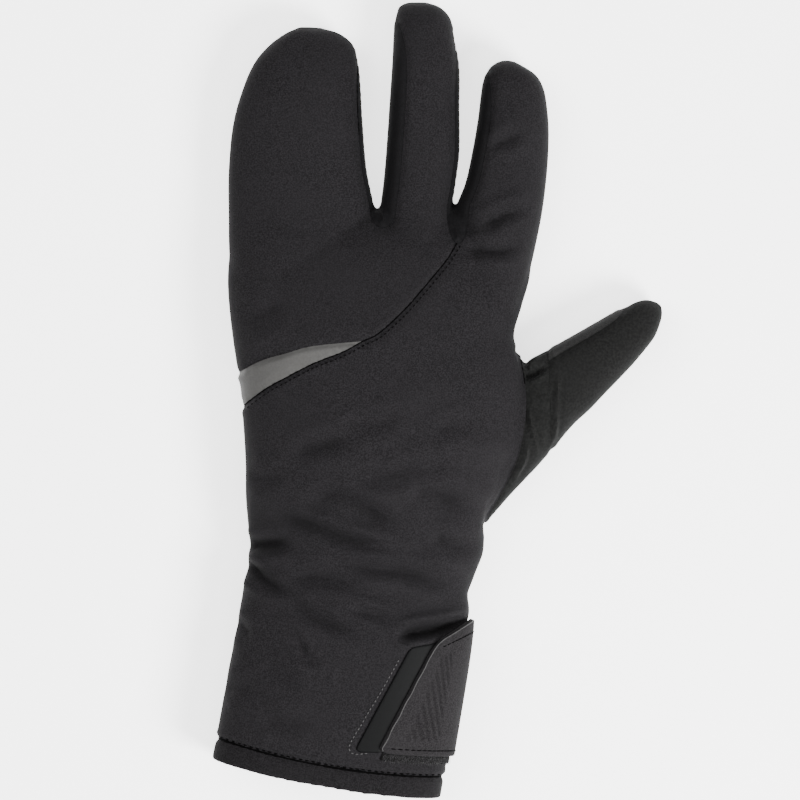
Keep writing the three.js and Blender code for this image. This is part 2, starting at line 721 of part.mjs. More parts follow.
// The underside of the cuff.
const cuffUnder = shell
  .intersect(belowSideSeam)
  .intersect(cuffSide)
  .subtract(hemSide)
  .subtract(blade(wristSeam))
  .subtract(blade(hemSeam));

// Layers over the cuff, above the side seam that they are sewn into.
function layer(low, high, outline) {
  return bodyTube({ inset: -high, folded: false })
    .subtract(bodyTube({ inset: -low, folded: false }))
    .intersect(prism(outline, backHeight));
}
const underlayTop = SEAM_GAP + UNDERLAY_THICKNESS;
const moved = ({ across, along }, aside, down = 0) => ({
  across: across + aside / CUFF_WIDTH,
  along: along + down / CUFF_REACH,
});

const strapBody = layer(underlayTop + SEAM_GAP, underlayTop + SEAM_GAP + STRAP_THICKNESS, [
  cuffPoint(STRAP.tip),
  cuffPoint(STRAP.toe),
  cuffPoint(STRAP.bottomAside),
  cuffPoint(STRAP.topAside),
]);
const tapeBody = layer(SEAM_GAP, underlayTop, [
  cuffPoint(TAPE.tip),
  cuffPoint(TAPE.toe),
  cuffPoint(moved(STRAP.toe, STRAP_OVERLAP)),
  cuffPoint(moved(STRAP.tip, STRAP_OVERLAP)),
]);
const loopBody = layer(SEAM_GAP, underlayTop, [
  cuffPoint(moved(STRAP.tip, STRAP_OVERLAP + SEAM_GAP)),
  cuffPoint(moved(STRAP.toe, STRAP_OVERLAP + SEAM_GAP, LOOP_EDGE)),
  cuffPoint(moved(STRAP.bottomAside, 0, LOOP_EDGE)),
  cuffPoint(moved(STRAP.topAside, 0, LOOP_EDGE)),
]);

// Cloths
const cloth = (color, roughness) =>
  new THREE.MeshStandardMaterial({ color, roughness, metalness: 0 });
const softshell = () => cloth(0x302f31, 0.85);
const suedeCloth = () => cloth(0x2a2a2a, 0.95);

const group = new THREE.Group();

// Adds a piece to the group under its name.
function piece(name, made, material) {
  const mesh = new THREE.Mesh(geometryOf(mainBody(made)), material);
  mesh.name = name;
  group.add(mesh);
}

piece('back_upper_panel', panels.intersect(upperSide), softshell());
piece('back_lower_panel', panels.subtract(upperSide).subtract(wedgeSide), softshell());
piece('reflective_wedge', panels.intersect(wedgeSide), cloth(0x6d6c6a, 0.45));
piece('fourchette_ring_middle', hand.intersect(ringMiddleSide), cloth(0x1b1a1d, 0.9));
piece('fourchette_middle_index', hand.intersect(middleIndexSide), cloth(0x1b1a1d, 0.9));
piece('palm_panel', suede.subtract(thumbBeyondSeam), suedeCloth());
piece('thumb', thumbTube.subtract(thumbStripCut), suedeCloth());
piece('thumb_fourchette', thumbTube.intersect(thumbStripBody), softshell());
piece('cuff_palm_panel', cuffUnder, softshell());
piece('cuff_hem', shell.intersect(hemSide).subtract(blade(hemSeam)), cloth(0x262426, 0.9));
piece('cuff_strap', strapBody, cloth(0x3f3d3e, 0.75));
piece('strap_underlay', tapeBody, cloth(0x303032, 0.4));
piece('loop_patch', loopBody, cloth(0x1e1d1f, 1));

export default group;
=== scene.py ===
# %% [markdown]
# # A lobster claw mitt, from tables to cloth
#
# The mitt is a padded winter glove lying palm down: ring and little finger
# share one wide finger, and a long cuff closes with a strap. A glove could be
# sculpted by hand, or simulated from flat patterns, but then its sizes would be
# hard to keep. Here it is grown from a few short tables of cross-sections. They
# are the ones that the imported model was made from, but for a little more room
# between middle and index finger, so every panel lands where the frame says it is.
# Lengths are in millimetres until a mesh is made.

# %% Load the frame
import json
import math

import bmesh
import bpy
import numpy as np
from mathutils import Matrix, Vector
from mathutils.bvhtree import BVHTree

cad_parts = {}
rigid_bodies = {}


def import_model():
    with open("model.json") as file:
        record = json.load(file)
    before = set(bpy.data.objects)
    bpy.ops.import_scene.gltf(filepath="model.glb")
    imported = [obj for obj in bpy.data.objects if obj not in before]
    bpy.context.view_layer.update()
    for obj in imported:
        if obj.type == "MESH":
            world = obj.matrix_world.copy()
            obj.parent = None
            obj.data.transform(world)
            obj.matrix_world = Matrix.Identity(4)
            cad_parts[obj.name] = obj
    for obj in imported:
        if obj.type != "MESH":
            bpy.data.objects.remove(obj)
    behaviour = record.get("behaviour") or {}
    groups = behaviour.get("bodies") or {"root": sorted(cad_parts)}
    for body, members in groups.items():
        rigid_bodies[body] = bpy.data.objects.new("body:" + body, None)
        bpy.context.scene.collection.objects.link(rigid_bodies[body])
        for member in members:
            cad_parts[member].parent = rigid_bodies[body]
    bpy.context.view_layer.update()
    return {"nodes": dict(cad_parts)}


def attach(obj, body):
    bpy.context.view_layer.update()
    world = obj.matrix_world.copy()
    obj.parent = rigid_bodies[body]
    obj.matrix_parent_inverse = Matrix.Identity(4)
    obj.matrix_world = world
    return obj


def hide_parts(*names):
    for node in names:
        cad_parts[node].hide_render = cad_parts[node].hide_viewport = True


for leftover in list(bpy.data.objects):
    bpy.data.objects.remove(leftover)
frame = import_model()
MM = 0.001

# %% [markdown]
# ## The mitt's sizes
#
# Each table row is a cross-section: how far along the tube it lies, how far the
# tube reaches to the left and right of its middle line, how high its top is and
# how far its underside is lifted off the table. All are shares of the named
# sizes, so the table says the shape and the sizes say how big it is.

# %% Driving sizes
PALM_WIDTH = 115.0
PALM_LENGTH = 115.0
PALM_THICKNESS = 37.0
WRIST_TO_ORIGIN = 45.6
CUFF_WIDTH = 88.0
CUFF_THICKNESS = 33.0
CUFF_LENGTH = 91.0
CUFF_LEAN = math.radians(9.6)
CUFF_BEND = 30.0
HEM_DEPTH = 8.4
HEM_BOW = 3.0
CUFF_REACH = CUFF_LENGTH + HEM_DEPTH
WALL = 3.0
SEAM_GAP = 0.3
SIDE_SEAM_HEIGHT = 9.5
BEYOND = CUFF_REACH + PALM_LENGTH + 82.0


def rows(columns, *lines):
    """A table as one array for each named column."""
    return dict(zip(columns.split(), np.array(lines, float).T))


print("hand and cuff", round(CUFF_REACH + PALM_LENGTH, 1), "mm long")

# %% Sections of the palm and the cuff
PALM = rows(
    "along left right top lift",
    (0.05, 0.396, 0.408, 0.89, 0),
    (0.10, 0.398, 0.440, 0.92, 0),
    (0.175, 0.398, 0.479, 0.96, 0),
    (0.25, 0.401, 0.522, 0.99, 0),
    (0.33, 0.406, 0.540, 1.00, 0),
    (0.42, 0.413, 0.545, 1.00, 0),
    (0.52, 0.428, 0.525, 0.99, 0),
    (0.60, 0.440, 0.489, 0.97, 0),
    (0.70, 0.452, 0.513, 0.92, 0),
    (0.80, 0.457, 0.541, 0.85, 0),
    (0.90, 0.450, 0.548, 0.75, 0),
    (0.97, 0.440, 0.545, 0.63, 0.03),
    (1.01, 0.430, 0.535, 0.52, 0.08),
    (1.03, 0.420, 0.525, 0.38, 0.14),
)
CUFF = rows(
    "along left right top lift",
    (0, 0.511, 0.516, 0.97, 0),
    (0.06, 0.505, 0.500, 0.95, 0),
    (0.12, 0.499, 0.490, 0.93, 0),
    (0.19, 0.498, 0.473, 0.93, 0),
    (0.23, 0.499, 0.454, 0.94, 0),
    (0.27, 0.500, 0.463, 0.95, 0),
    (0.32, 0.502, 0.477, 0.97, 0),
    (0.45, 0.502, 0.486, 1.00, 0),
    (0.70, 0.507, 0.488, 1.00, 0),
    (0.90, 0.510, 0.488, 0.97, 0),
    (1, 0.513, 0.488, 0.95, 0),
)
print(len(PALM["along"]), "sections of the palm and", len(CUFF["along"]), "of the cuff")

# %% Sections of the fingers and the thumb
DIGITS = {
    "ring_little": {
        "length": 72.6, "width": 56.0, "thickness": 25.0, "lean": 0.0,
        "root": (-0.218, 1.0),
        "rows": rows(
            "along left right top lift",
            (-0.45, 0.460, 0.460, 1.20, 0.02),
            (-0.20, 0.482, 0.500, 1.13, 0.03),
            (0.00, 0.486, 0.514, 1.03, 0.06),
            (0.25, 0.486, 0.453, 1.00, 0.10),
            (0.50, 0.453, 0.426, 1.00, 0.12),
            (0.70, 0.378, 0.412, 0.96, 0.11),
            (0.82, 0.304, 0.399, 0.90, 0.10),
            (0.91, 0.203, 0.358, 0.79, 0.11),
            (0.97, 0.095, 0.264, 0.65, 0.16),
            (1.00, 0.007, 0.142, 0.48, 0.24),
        ),
    },
    "middle": {
        "length": 82.0, "width": 28.0, "thickness": 23.5, "lean": 0.0,
        "root": (0.178, 1.0),
        "rows": rows(
            "along left right top lift",
            (-0.35, 0.490, 0.460, 1.22, 0.02),
            (-0.12, 0.520, 0.460, 1.13, 0.03),
            (0.00, 0.550, 0.420, 1.04, 0.06),
            (0.15, 0.500, 0.485, 1.00, 0.10),
            (0.30, 0.460, 0.540, 1.00, 0.12),
            (0.50, 0.420, 0.540, 1.00, 0.13),
            (0.70, 0.380, 0.540, 0.98, 0.12),
            (0.85, 0.360, 0.475, 0.92, 0.11),
            (0.93, 0.340, 0.410, 0.83, 0.12),
            (0.98, 0.285, 0.270, 0.68, 0.18),
            (1.00, 0.200, 0.110, 0.52, 0.26),
        ),
    },
    "index": {
        "length": 60.0, "width": 33.5, "thickness": 23.5, "lean": math.radians(5.5),
        "root": (0.433, 1.0),
        "rows": rows(
            "along left right top lift",
            (-0.60, 0.400, 0.340, 1.22, 0.02),
            (-0.30, 0.420, 0.435, 1.20, 0.03),
            (0.00, 0.485, 0.500, 1.04, 0.05),
            (0.20, 0.395, 0.517, 1.00, 0.10),
            (0.40, 0.352, 0.517, 1.00, 0.12),
            (0.60, 0.324, 0.489, 1.00, 0.13),
            (0.75, 0.318, 0.440, 0.97, 0.12),
            (0.85, 0.307, 0.384, 0.91, 0.11),
            (0.93, 0.267, 0.278, 0.81, 0.12),
            (0.98, 0.180, 0.108, 0.66, 0.18),
            (1.00, 0.110, 0.020, 0.52, 0.26),
        ),
    },
    "thumb": {
        "length": 77.0, "width": 32.0, "thickness": 25.0, "lean": math.radians(49.4),
        "root": (0.468, 0.272),
        "rows": rows(
            "along left right top lift",
            (-0.36, 0.450, 0.620, 0.86, 0.03),
            (-0.17, 0.500, 0.540, 0.95, 0.03),
            (0.00, 0.530, 0.497, 1.00, 0.03),
            (0.20, 0.530, 0.425, 1.00, 0.03),
            (0.30, 0.525, 0.390, 0.98, 0.04),
            (0.40, 0.490, 0.384, 0.95, 0.05),
            (0.50, 0.453, 0.359, 0.92, 0.06),
            (0.60, 0.406, 0.337, 0.90, 0.07),
            (0.70, 0.360, 0.312, 0.88, 0.08),
            (0.80, 0.312, 0.272, 0.84, 0.08),
            (0.88, 0.260, 0.228, 0.78, 0.09),
            (0.94, 0.210, 0.153, 0.70, 0.12),
            (0.975, 0.150, 0.094, 0.60, 0.16),
            (1.00, 0.055, 0.020, 0.48, 0.24),
        ),
    },
}
print("tables for palm, cuff and", ", ".join(DIGITS))


# %% Read a table on a smooth curve
def ease(x, low, high):
    """Zero below low, one above high, and 3t² - 2t³ between them."""
    t = np.clip((x - low) / (high - low), 0, 1)
    return t * t * (3 - 2 * t)


def follow(table, column, at):
    """
    One column at any position: between two rows it is the cubic that meets both
    values, with slopes taken across each row's neighbours.
    """
    x, y = table["along"], table[column]
    before, after = np.r_[0, np.arange(len(x) - 1)], np.r_[np.arange(1, len(x)), len(x) - 1]
    slope = (y[after] - y[before]) / (x[after] - x[before])
    at = np.clip(at, x[0], x[-1])
    i = np.clip(np.searchsorted(x, at, side="right") - 1, 0, len(x) - 2)
    span = x[i + 1] - x[i]
    t = (at - x[i]) / span
    return (
        (2 * t**3 - 3 * t**2 + 1) * y[i]
        + (t**3 - 2 * t**2 + t) * span * slope[i]
        + (3 * t**2 - 2 * t**3) * y[i + 1]
        + (t**3 - t**2) * span * slope[i + 1]
    )


def section_sizes(table, share, length, width, thickness):
    """A table's columns in millimetres, at shares of the tube's length."""
    return {
        "along": share * length,
        "left": follow(table, "left", share) * width,
        "right": follow(table, "right", share) * width,
        "top": follow(table, "top", share) * thickness,
        "lift": np.maximum(follow(table, "lift", share), 0) * thickness,
    }


half_down = section_sizes(CUFF, 0.5, CUFF_REACH, CUFF_WIDTH, CUFF_THICKNESS)
print("half down the cuff", {name: round(float(size), 1) for name, size in half_down.items()})

# %% [markdown]
# ## From sections to tubes
#
# A cross-section of padded cloth is neither a circle nor a box, so it is drawn
# as a superellipse, |x/a|^n + |z/b|^n = 1, with n a little over two. Its lower
# half is pushed against the table and flattened there. The cuff's middle line
# bends a few degrees off the hand's, which an arc and a straight line describe.

# %% The section and the two middle lines
ROUNDNESS = 2 / 2.35
WIDEST_SHARE = 0.45
FLATTENED = 1.18


def section(sizes, angle):
    """
    Points of the cross-section at angles round it: across is |cos|^r times the
    half width, up is |sin|^r times the height above or below the widest line,
    and the underside stops at the table.
    """
    c, s = np.cos(angle), np.sin(angle)
    side, rise = np.sign(c) * np.abs(c) ** ROUNDNESS, np.abs(s) ** ROUNDNESS
    widest = sizes["lift"] + WIDEST_SHARE * (sizes["top"] - sizes["lift"])
    across = side * np.where(c > 0, sizes["right"], sizes["left"])
    above = widest + rise * (sizes["top"] - widest)
    below = np.maximum(sizes["lift"], widest - FLATTENED * rise * (widest - sizes["lift"]))
    return across, np.where(s > 0, above, below)


def body_plan(across, along):
    """
    Plan position beside the hand's middle line. Above the wrist the line is
    straight; below it, along < 0, it turns on an arc and then runs straight on.
    """
    across, along = np.broadcast_arrays(np.asarray(across, float), np.asarray(along, float))
    radius = CUFF_BEND / CUFF_LEAN
    turn = np.clip(-along, 0, CUFF_BEND) / radius
    straight = np.maximum(-along - CUFF_BEND, 0)
    x = -radius * (1 - np.cos(turn)) - straight * np.sin(turn) + across * np.cos(turn)
    y = np.maximum(along, 0) - WRIST_TO_ORIGIN - radius * np.sin(turn)
    y = y - straight * np.cos(turn) - across * np.sin(turn)
    return x, y


def bow(across, along):
    """How far the cuff's sections bow out: a parabola across, growing to the hem."""
    down = np.clip(-np.asarray(along, float) / CUFF_LENGTH, 0, 1)
    side = np.clip(across / (CUFF_WIDTH / 2), -1, 1)
    return HEM_BOW * down**2 * (1 - side**2)


def digit_plan(digit, across, along):
    """Plan position beside a digit's straight, leaning middle line."""
    x, y = body_plan(digit["root"][0] * PALM_WIDTH, digit["root"][1] * PALM_LENGTH)
    sin, cos = math.sin(digit["lean"]), math.cos(digit["lean"])
    return x + along * sin + across * cos, y + along * cos - across * sin


print("cuff's mouth at", [round(float(v), 1) for v in body_plan(0.0, -CUFF_REACH)])

# %% Tubes of points
def shrink(sizes, wall):
    """The same section smaller all round by the wall, or larger by a minus one."""
    return {
        "along": sizes["along"],
        "left": sizes["left"] - wall,
        "right": sizes["right"] - wall,
        "top": sizes["top"] - wall,
        "lift": sizes["lift"] + np.maximum(wall, 0),
    }


def columns(sizes):
    """Section sizes as columns, so that they spread over a grid of angles."""
    return {name: np.asarray(value)[:, None] for name, value in sizes.items()}


def body_tube(inset=0.0, past=0.0, around=96):
    """
    Grid of points of the hand and cuff: rows run from the hem to the crotches,
    columns round each section. past lengthens it beyond the hem.
    """
    cuff = section_sizes(CUFF, np.linspace(1, 0, 50), CUFF_REACH, CUFF_WIDTH, CUFF_THICKNESS)
    palm_share = np.linspace(PALM["along"][0], PALM["along"][-1], 60)
    palm = section_sizes(PALM, palm_share, PALM_LENGTH, PALM_WIDTH, PALM_THICKNESS)
    sizes = {name: np.r_[cuff[name], palm[name]] for name in cuff}
    sizes["along"] = np.r_[-cuff["along"], palm["along"]]
    sizes["along"][-1] -= inset
    sizes["along"][0] -= past
    sizes = columns(shrink(sizes, inset))
    across, up = section(sizes, np.linspace(0, 2 * np.pi, around, endpoint=False)[None, :])
    x, y = body_plan(across, sizes["along"] - bow(across, sizes["along"]))
    return np.stack([x, y, up], axis=-1)


def digit_tube(digit, inset=0.0, around=64, steps=48):
    """
    Grid of points of a digit. Rows crowd towards the tip, as the sine of an even
    step does, because the digit rounds off there.
    """
    start = digit["rows"]["along"][0]
    share = start + (1 - start) * np.sin(np.linspace(0, np.pi / 2, steps))
    sizes = section_sizes(digit["rows"], share, digit["length"], digit["width"], digit["thickness"])
    sizes = shrink(sizes, inset)
    sizes["along"] = sizes["along"] - inset * np.where(share > 0, share, -share / start)
    roomy = (sizes["left"] + sizes["right"] > WALL) & (sizes["top"] - sizes["lift"] > WALL)
    sizes = columns({name: value[roomy | (inset == 0)] for name, value in sizes.items()})
    across, up = section(sizes, np.linspace(0, 2 * np.pi, around, endpoint=False)[None, :])
    x, y = digit_plan(digit, across, sizes["along"])
    return np.stack([x, y, up], axis=-1)


print("body tube", body_tube().shape, "thumb tube", digit_tube(DIGITS["thumb"]).shape)


# %% [markdown]
# ## Meshes from arrays
#
# Blender takes whole arrays of points and faces, which is far quicker than
# adding them one by one. Two helpers are enough: one makes a mesh object from
# points in millimetres, the other joins a grid's neighbours into quads.

# %% Mesh helpers
def tube_faces(count, around, first=0):
    """Quads of a grid closed round its columns, and an end cap on each side."""
    i, j = np.meshgrid(np.arange(count - 1), np.arange(around), indexing="ij")
    k = (j + 1) % around
    quads = np.stack([i * around + j, i * around + k, (i + 1) * around + k, (i + 1) * around + j])
    quads = quads.reshape(4, -1).T + first
    start = np.arange(around)[::-1] + first
    end = np.arange(around) + (count - 1) * around + first
    return [*quads.tolist(), start.tolist(), end.tolist()]


def new_object(name, points, faces, smooth=True):
    """A mesh object at the origin from points in millimetres."""
    mesh = bpy.data.meshes.new(name)
    mesh.from_pydata((np.asarray(points, float).reshape(-1, 3) * MM).tolist(), [], faces)
    mesh.validate()
    made = bpy.data.objects.new(name, mesh)
    bpy.context.scene.collection.objects.link(made)
    if smooth:
        mesh.shade_smooth()
    return made


def points_of(obj):
    """An object's points as an array, in millimetres."""
    co = np.empty(len(obj.data.vertices) * 3)
    obj.data.vertices.foreach_get("co", co)
    return co.reshape(-1, 3) / MM


def normals_of(obj):
    """The outward direction at each of an object's points."""
    normal = np.empty(len(obj.data.vertices) * 3)
    obj.data.vertex_normals.foreach_get("vector", normal)
    return normal.reshape(-1, 3)


def tree_of(obj):
    """A search tree over an object's faces, in millimetres."""
    faces = [tuple(polygon.vertices) for polygon in obj.data.polygons]
    return BVHTree.FromPolygons(points_of(obj).tolist(), faces)


def move_points(obj, points):
    """Puts an object's points where an array in millimetres says."""
    obj.data.vertices.foreach_set("co", (points * MM).ravel())
    obj.data.update()


print("a square tube has", len(tube_faces(2, 4)), "faces")

# %% Closed tubes as one object
def tubes_object(name, tubes):
    """Several closed tubes in one object, overlapping as they come."""
    points, faces, first = [], [], 0
    for tube in tubes:
        faces += tube_faces(len(tube), tube.shape[1], first)
        points.append(tube.reshape(-1, 3))
        first += tube.shape[0] * tube.shape[1]
    made = new_object(name, np.concatenate(points), faces)
    outward(made)
    return made


def outward(obj):
    """Turns every face of a closed mesh outwards."""
    bm = bmesh.new()
    bm.from_mesh(obj.data)
    bmesh.ops.recalc_face_normals(bm, faces=bm.faces)
    bm.to_mesh(obj.data)
    bm.free()


def apply_modifiers(obj):
    """Replaces an object's mesh by what its modifiers make of it."""
    made = bpy.data.meshes.new_from_object(obj.evaluated_get(bpy.context.evaluated_depsgraph_get()))
    obj.modifiers.clear()
    old, obj.data = obj.data, made
    bpy.data.meshes.remove(old)


# %% Even nets
def remesh(obj, voxel):
    """Rebuilds the outside of overlapping shells as one even net of quads."""
    modifier = obj.modifiers.new("net", "REMESH")
    modifier.mode = "VOXEL"
    modifier.voxel_size = voxel * MM
    modifier.use_smooth_shade = True
    apply_modifiers(obj)


def relax(obj, times, pull=0.5, push=-0.48):
    """
    Smooths a net without shrinking it: each point moves part of the way to the
    mean of its neighbours, then nearly as far back.
    """
    edges = np.empty(len(obj.data.edges) * 2, int)
    obj.data.edges.foreach_get("vertices", edges)
    a, b = edges.reshape(-1, 2).T
    points = points_of(obj)
    count = np.bincount(a, minlength=len(points)) + np.bincount(b, minlength=len(points))
    for step in [pull, push] * times:
        mean = np.stack([
            np.bincount(a, points[b, k], len(points)) + np.bincount(b, points[a, k], len(points))
            for k in range(3)
        ], axis=1) / np.maximum(count, 1)[:, None]
        points = points + step * (mean - points)
    move_points(obj, points)


# %% [markdown]
# ## One skin
#
# The five tubes run into each other where the fingers leave the hand. A Boolean
# union would leave a hard crease there, which sewn cloth doesn't have. A voxel
# remesh lays one net over all of them instead, and relaxing the net rounds the
# crotches as padding does.

# %% Join the tubes
SKIN_NET, CLOTH_NET = 0.85, 2.8


def mitt_skin(name, net, rounds):
    """The joined tubes as one net with points about that far apart."""
    made = tubes_object(name, [body_tube(), *map(digit_tube, DIGITS.values())])
    remesh(made, net)
    relax(made, rounds)
    return made


skin = mitt_skin("skin", SKIN_NET, 14)
print("skin", len(skin.data.vertices), "points")

# %% [markdown]
# ## Where the seams run
#
# The mitt is sewn from panels, and each seam is a line in plan. The lines could
# be painted on, but a real seam is a step and a groove, so the same lines are
# used three times: to hold the cloth down in the simulation, to press grooves,
# and to cut the skin into its panels.

# %% Lines in plan
def through(points, steps=8):
    """
    A smooth line through chosen points: a cubic between each two, whose slope at
    a point follows from the points before and after it.
    """
    p = np.asarray(points, float)
    p = np.vstack([2 * p[0] - p[1], p, 2 * p[-1] - p[-2]])
    t = np.linspace(0, len(points) - 1, steps * (len(points) - 1) + 1)
    i = np.minimum(t.astype(int), len(points) - 2)
    f = (t - i)[:, None]
    a, b, c, d = (p[i + k] for k in range(4))
    return 0.5 * (2 * b + (c - a) * f + (2 * a - 5 * b + 4 * c - d) * f**2
                  + (3 * b - a - 3 * c + d) * f**3)


def line_length(line):
    """How long a plan line is, in millimetres."""
    return float(np.hypot(*np.diff(line, axis=0).T).sum())


def on_palm(across, along):
    """A plan point from shares of the palm's width and length."""
    return np.stack(body_plan(np.multiply(across, PALM_WIDTH), np.multiply(along, PALM_LENGTH)), -1)


def on_cuff(across, along):
    """A plan point from shares of the cuff's width and reach, below the wrist."""
    side, down = np.multiply(across, CUFF_WIDTH), -np.multiply(along, CUFF_REACH)
    return np.stack(body_plan(side, down - bow(side, down)), -1)


def digit_edge(digit, side, share, inset):
    """A plan point at a distance in from a digit's left or right edge."""
    edge = follow(digit["rows"], side, share) * digit["width"] - inset
    across = -edge if side == "left" else edge
    return np.stack(digit_plan(digit, across, share * digit["length"]), -1)


def edge_seam(digit, side, start, end, inset, steps=24):
    """
    A line up a digit beside its edge. The inset fades with a high power of the
    way gone and ends one wall outside, so that the seam leaves the digit at its tip.
    """
    gone = np.linspace(0, 1, steps)
    return digit_edge(digit, side, start + (end - start) * gone, inset - gone**8 * (inset + WALL))


arch = through([(0, 0), (10, 5), (20, 0)])
print("an arch through three points is", round(line_length(arch), 1), "mm long")

# %% The seams of the back
RING_LITTLE, MIDDLE, INDEX, THUMB = DIGITS.values()
MIDDLE_STRIP, INDEX_STRIP, THUMB_STRIP, FAR_STRIP = 6.2, 5.0, 3.6, 1.8
RING_MIDDLE_DROP, MIDDLE_INDEX_DROP = 7.5, 14.0
STRIP_ROOT, FAR_STRIP_TIP, STRIP_TIP = 0.04, 0.93, 0.985
CUBIC_PULL = 1.33
SEAM_OVERLAP = 0.8


def strip_line(left_digit, right_digit, strip, drop):
    """
    Outline of the side strip between two fingers: down the left one, round the
    crotch on a cubic curve that dips by the drop, and up the right one. The
    cubic's two middle handles hang a third lower than the curve itself reaches.
    """
    left = edge_seam(left_digit, "right", STRIP_ROOT, FAR_STRIP_TIP, FAR_STRIP)[::-1]
    right = edge_seam(right_digit, "left", STRIP_ROOT, STRIP_TIP, strip)
    a, d = left[-1], right[0]
    low = (a[1] + d[1]) / 2 - CUBIC_PULL * drop
    t = np.linspace(0, 1, 20)[1:-1, None]
    b, c = np.array([a[0], low]), np.array([d[0], low])
    dip = (1 - t) ** 3 * a + 3 * (1 - t) ** 2 * t * b + 3 * (1 - t) * t**2 * c + t**3 * d
    return np.vstack([left, dip, right])


ring_middle_strip = strip_line(RING_LITTLE, MIDDLE, MIDDLE_STRIP, RING_MIDDLE_DROP)
middle_index_strip = strip_line(MIDDLE, INDEX, INDEX_STRIP, MIDDLE_INDEX_DROP)
pocket_foot = middle_index_strip[np.argmin(middle_index_strip[:, 1])]
main_seam = through(np.vstack([
    pocket_foot + [0.0, SEAM_OVERLAP],
    on_palm([0.270, 0.235, 0.185, 0.127, 0.045, -0.007], [0.862, 0.818, 0.758, 0.692, 0.616, 0.59]),
]))
wedge_top = through(on_palm([-0.007, -0.172, -0.264, -0.36, -0.5], [0.59, 0.5735, 0.549, 0.519, 0.44]))
wedge_bottom = through(on_palm([-0.007, -0.076, -0.172, -0.264, -0.34, -0.48],
                               [0.59, 0.553, 0.515, 0.468, 0.425, 0.32]))
print("main seam", round(line_length(main_seam)), "mm long")


# %% The seams of the thumb, the wrist and the hem
thumb_edge = through(on_palm(
    [0.515, 0.502, 0.512, 0.529, 0.519, 0.492, 0.443, 0.413, 0.396, 0.405],
    [0.580, 0.555, 0.522, 0.396, 0.290, 0.182, 0.083, 0.033, -0.012, -0.050],
), 5)
THUMB_SEAM_LEFT, THUMB_SEAM_RIGHT = 0.49, 0.05
THUMB_STRIP_ROOT, THUMB_STRIP_TIP = 0.385, 0.9
thumb_seam = np.vstack([
    digit_edge(THUMB, "left", THUMB_SEAM_LEFT, -2 * WALL),
    digit_edge(THUMB, "right", THUMB_SEAM_RIGHT, -2 * WALL),
])
thumb_strip = edge_seam(THUMB, "left", THUMB_STRIP_ROOT, THUMB_STRIP_TIP, THUMB_STRIP)
seam_shares = np.linspace(-0.8, 0.8, 41)
hem_seam = on_cuff(seam_shares, np.full(41, CUFF_LENGTH / CUFF_REACH))
WRIST_SEAM_DROP = 2.0
wrist_seam = np.stack(body_plan(seam_shares * CUFF_WIDTH, -WRIST_SEAM_DROP), -1)
print("hem seam", round(line_length(hem_seam)), "mm long")

# %% Distance from a line
def beside(points, line):
    """
    For each plan point, how far it lies from a line, more than zero on the
    line's left, and how far along the line the nearest place is.
    """
    away, place, gone = np.full(len(points), 1e3), np.zeros(len(points)), 0.0
    for start, end in zip(line[:-1], line[1:]):
        run = end - start
        length = np.hypot(*run)
        t = np.clip((points - start) @ run / length**2, 0, 1)
        off = points - start - t[:, None] * run
        distance = np.hypot(off[:, 0], off[:, 1])
        left = np.where(run[0] * off[:, 1] < run[1] * off[:, 0], -1.0, 1.0)
        nearer = distance < np.abs(away)
        away = np.where(nearer, distance * left, away)
        place = np.where(nearer, gone + t * length, place)
        gone += length
    return away, place


BACK_SEAMS = [main_seam, wedge_top, wedge_bottom, ring_middle_strip, middle_index_strip, thumb_edge]
print(len(BACK_SEAMS) + 4, "seam lines")

# %% [markdown]
# ## The padding pushes, the seams hold
#
# A padded panel is fullest in its middle and is drawn in where it is sewn. Cloth
# simulation gives just that: the skin is pinned along its seams, where it rests
# and under the strap, and pressure pushes out the rest. What it moves is
# measured along each point's normal, capped, and taken about its mean, so the
# mitt keeps the size its tables say.

# %% Where the cloth is held
# The ends of the left edges of strap and tape: shares of the cuff's width and reach.
STRAP_TIP, STRAP_TOE = (0.342, 0.41), (0.178, 0.84)
TAPE_TIP, TAPE_TOE = (0.25, 0.44), (0.085, 0.85)
PAST_SIDE = 0.7


def under_strap(points):
    """One where the strap and its tape cover the cuff, fading over a few millimetres."""
    left, _ = beside(points, on_cuff(*np.transpose([TAPE_TIP, TAPE_TOE])))
    top, _ = beside(points, on_cuff(*np.transpose([TAPE_TIP, STRAP_TIP, (PAST_SIDE, 0.2)])))
    foot, _ = beside(points, on_cuff(*np.transpose([TAPE_TOE, (PAST_SIDE, TAPE_TOE[1])])))
    return ease(left, -4, 1) * ease(-top, -3, 2) * ease(foot, -3, 1)


def pins(points):
    """How firmly each point is held, from 0 to 1."""
    plan, z = points[:, :2], points[:, 2]
    held = 1 - ease(z, 0.8, 4.0)
    above = z > SIDE_SEAM_HEIGHT - 2
    for line in [*BACK_SEAMS, thumb_seam, thumb_strip, hem_seam]:
        away, _ = beside(plan, line)
        held = np.maximum(held, (1 - ease(np.abs(away), 1.5, 4.0)) * above)
    held = np.maximum(held, (1 - ease(np.abs(z - SIDE_SEAM_HEIGHT), 1.0, 3.0)))
    return np.maximum(held, under_strap(plan) * above)


SAMPLE = slice(None, None, 50)
print(round(100 * float(pins(points_of(skin)[SAMPLE]).mean())), "% of the skin is held")

# %% Run the cloth
SIM_FRAMES, PRESSURE, PUFF_CAP = 20, 4.0, 1.9


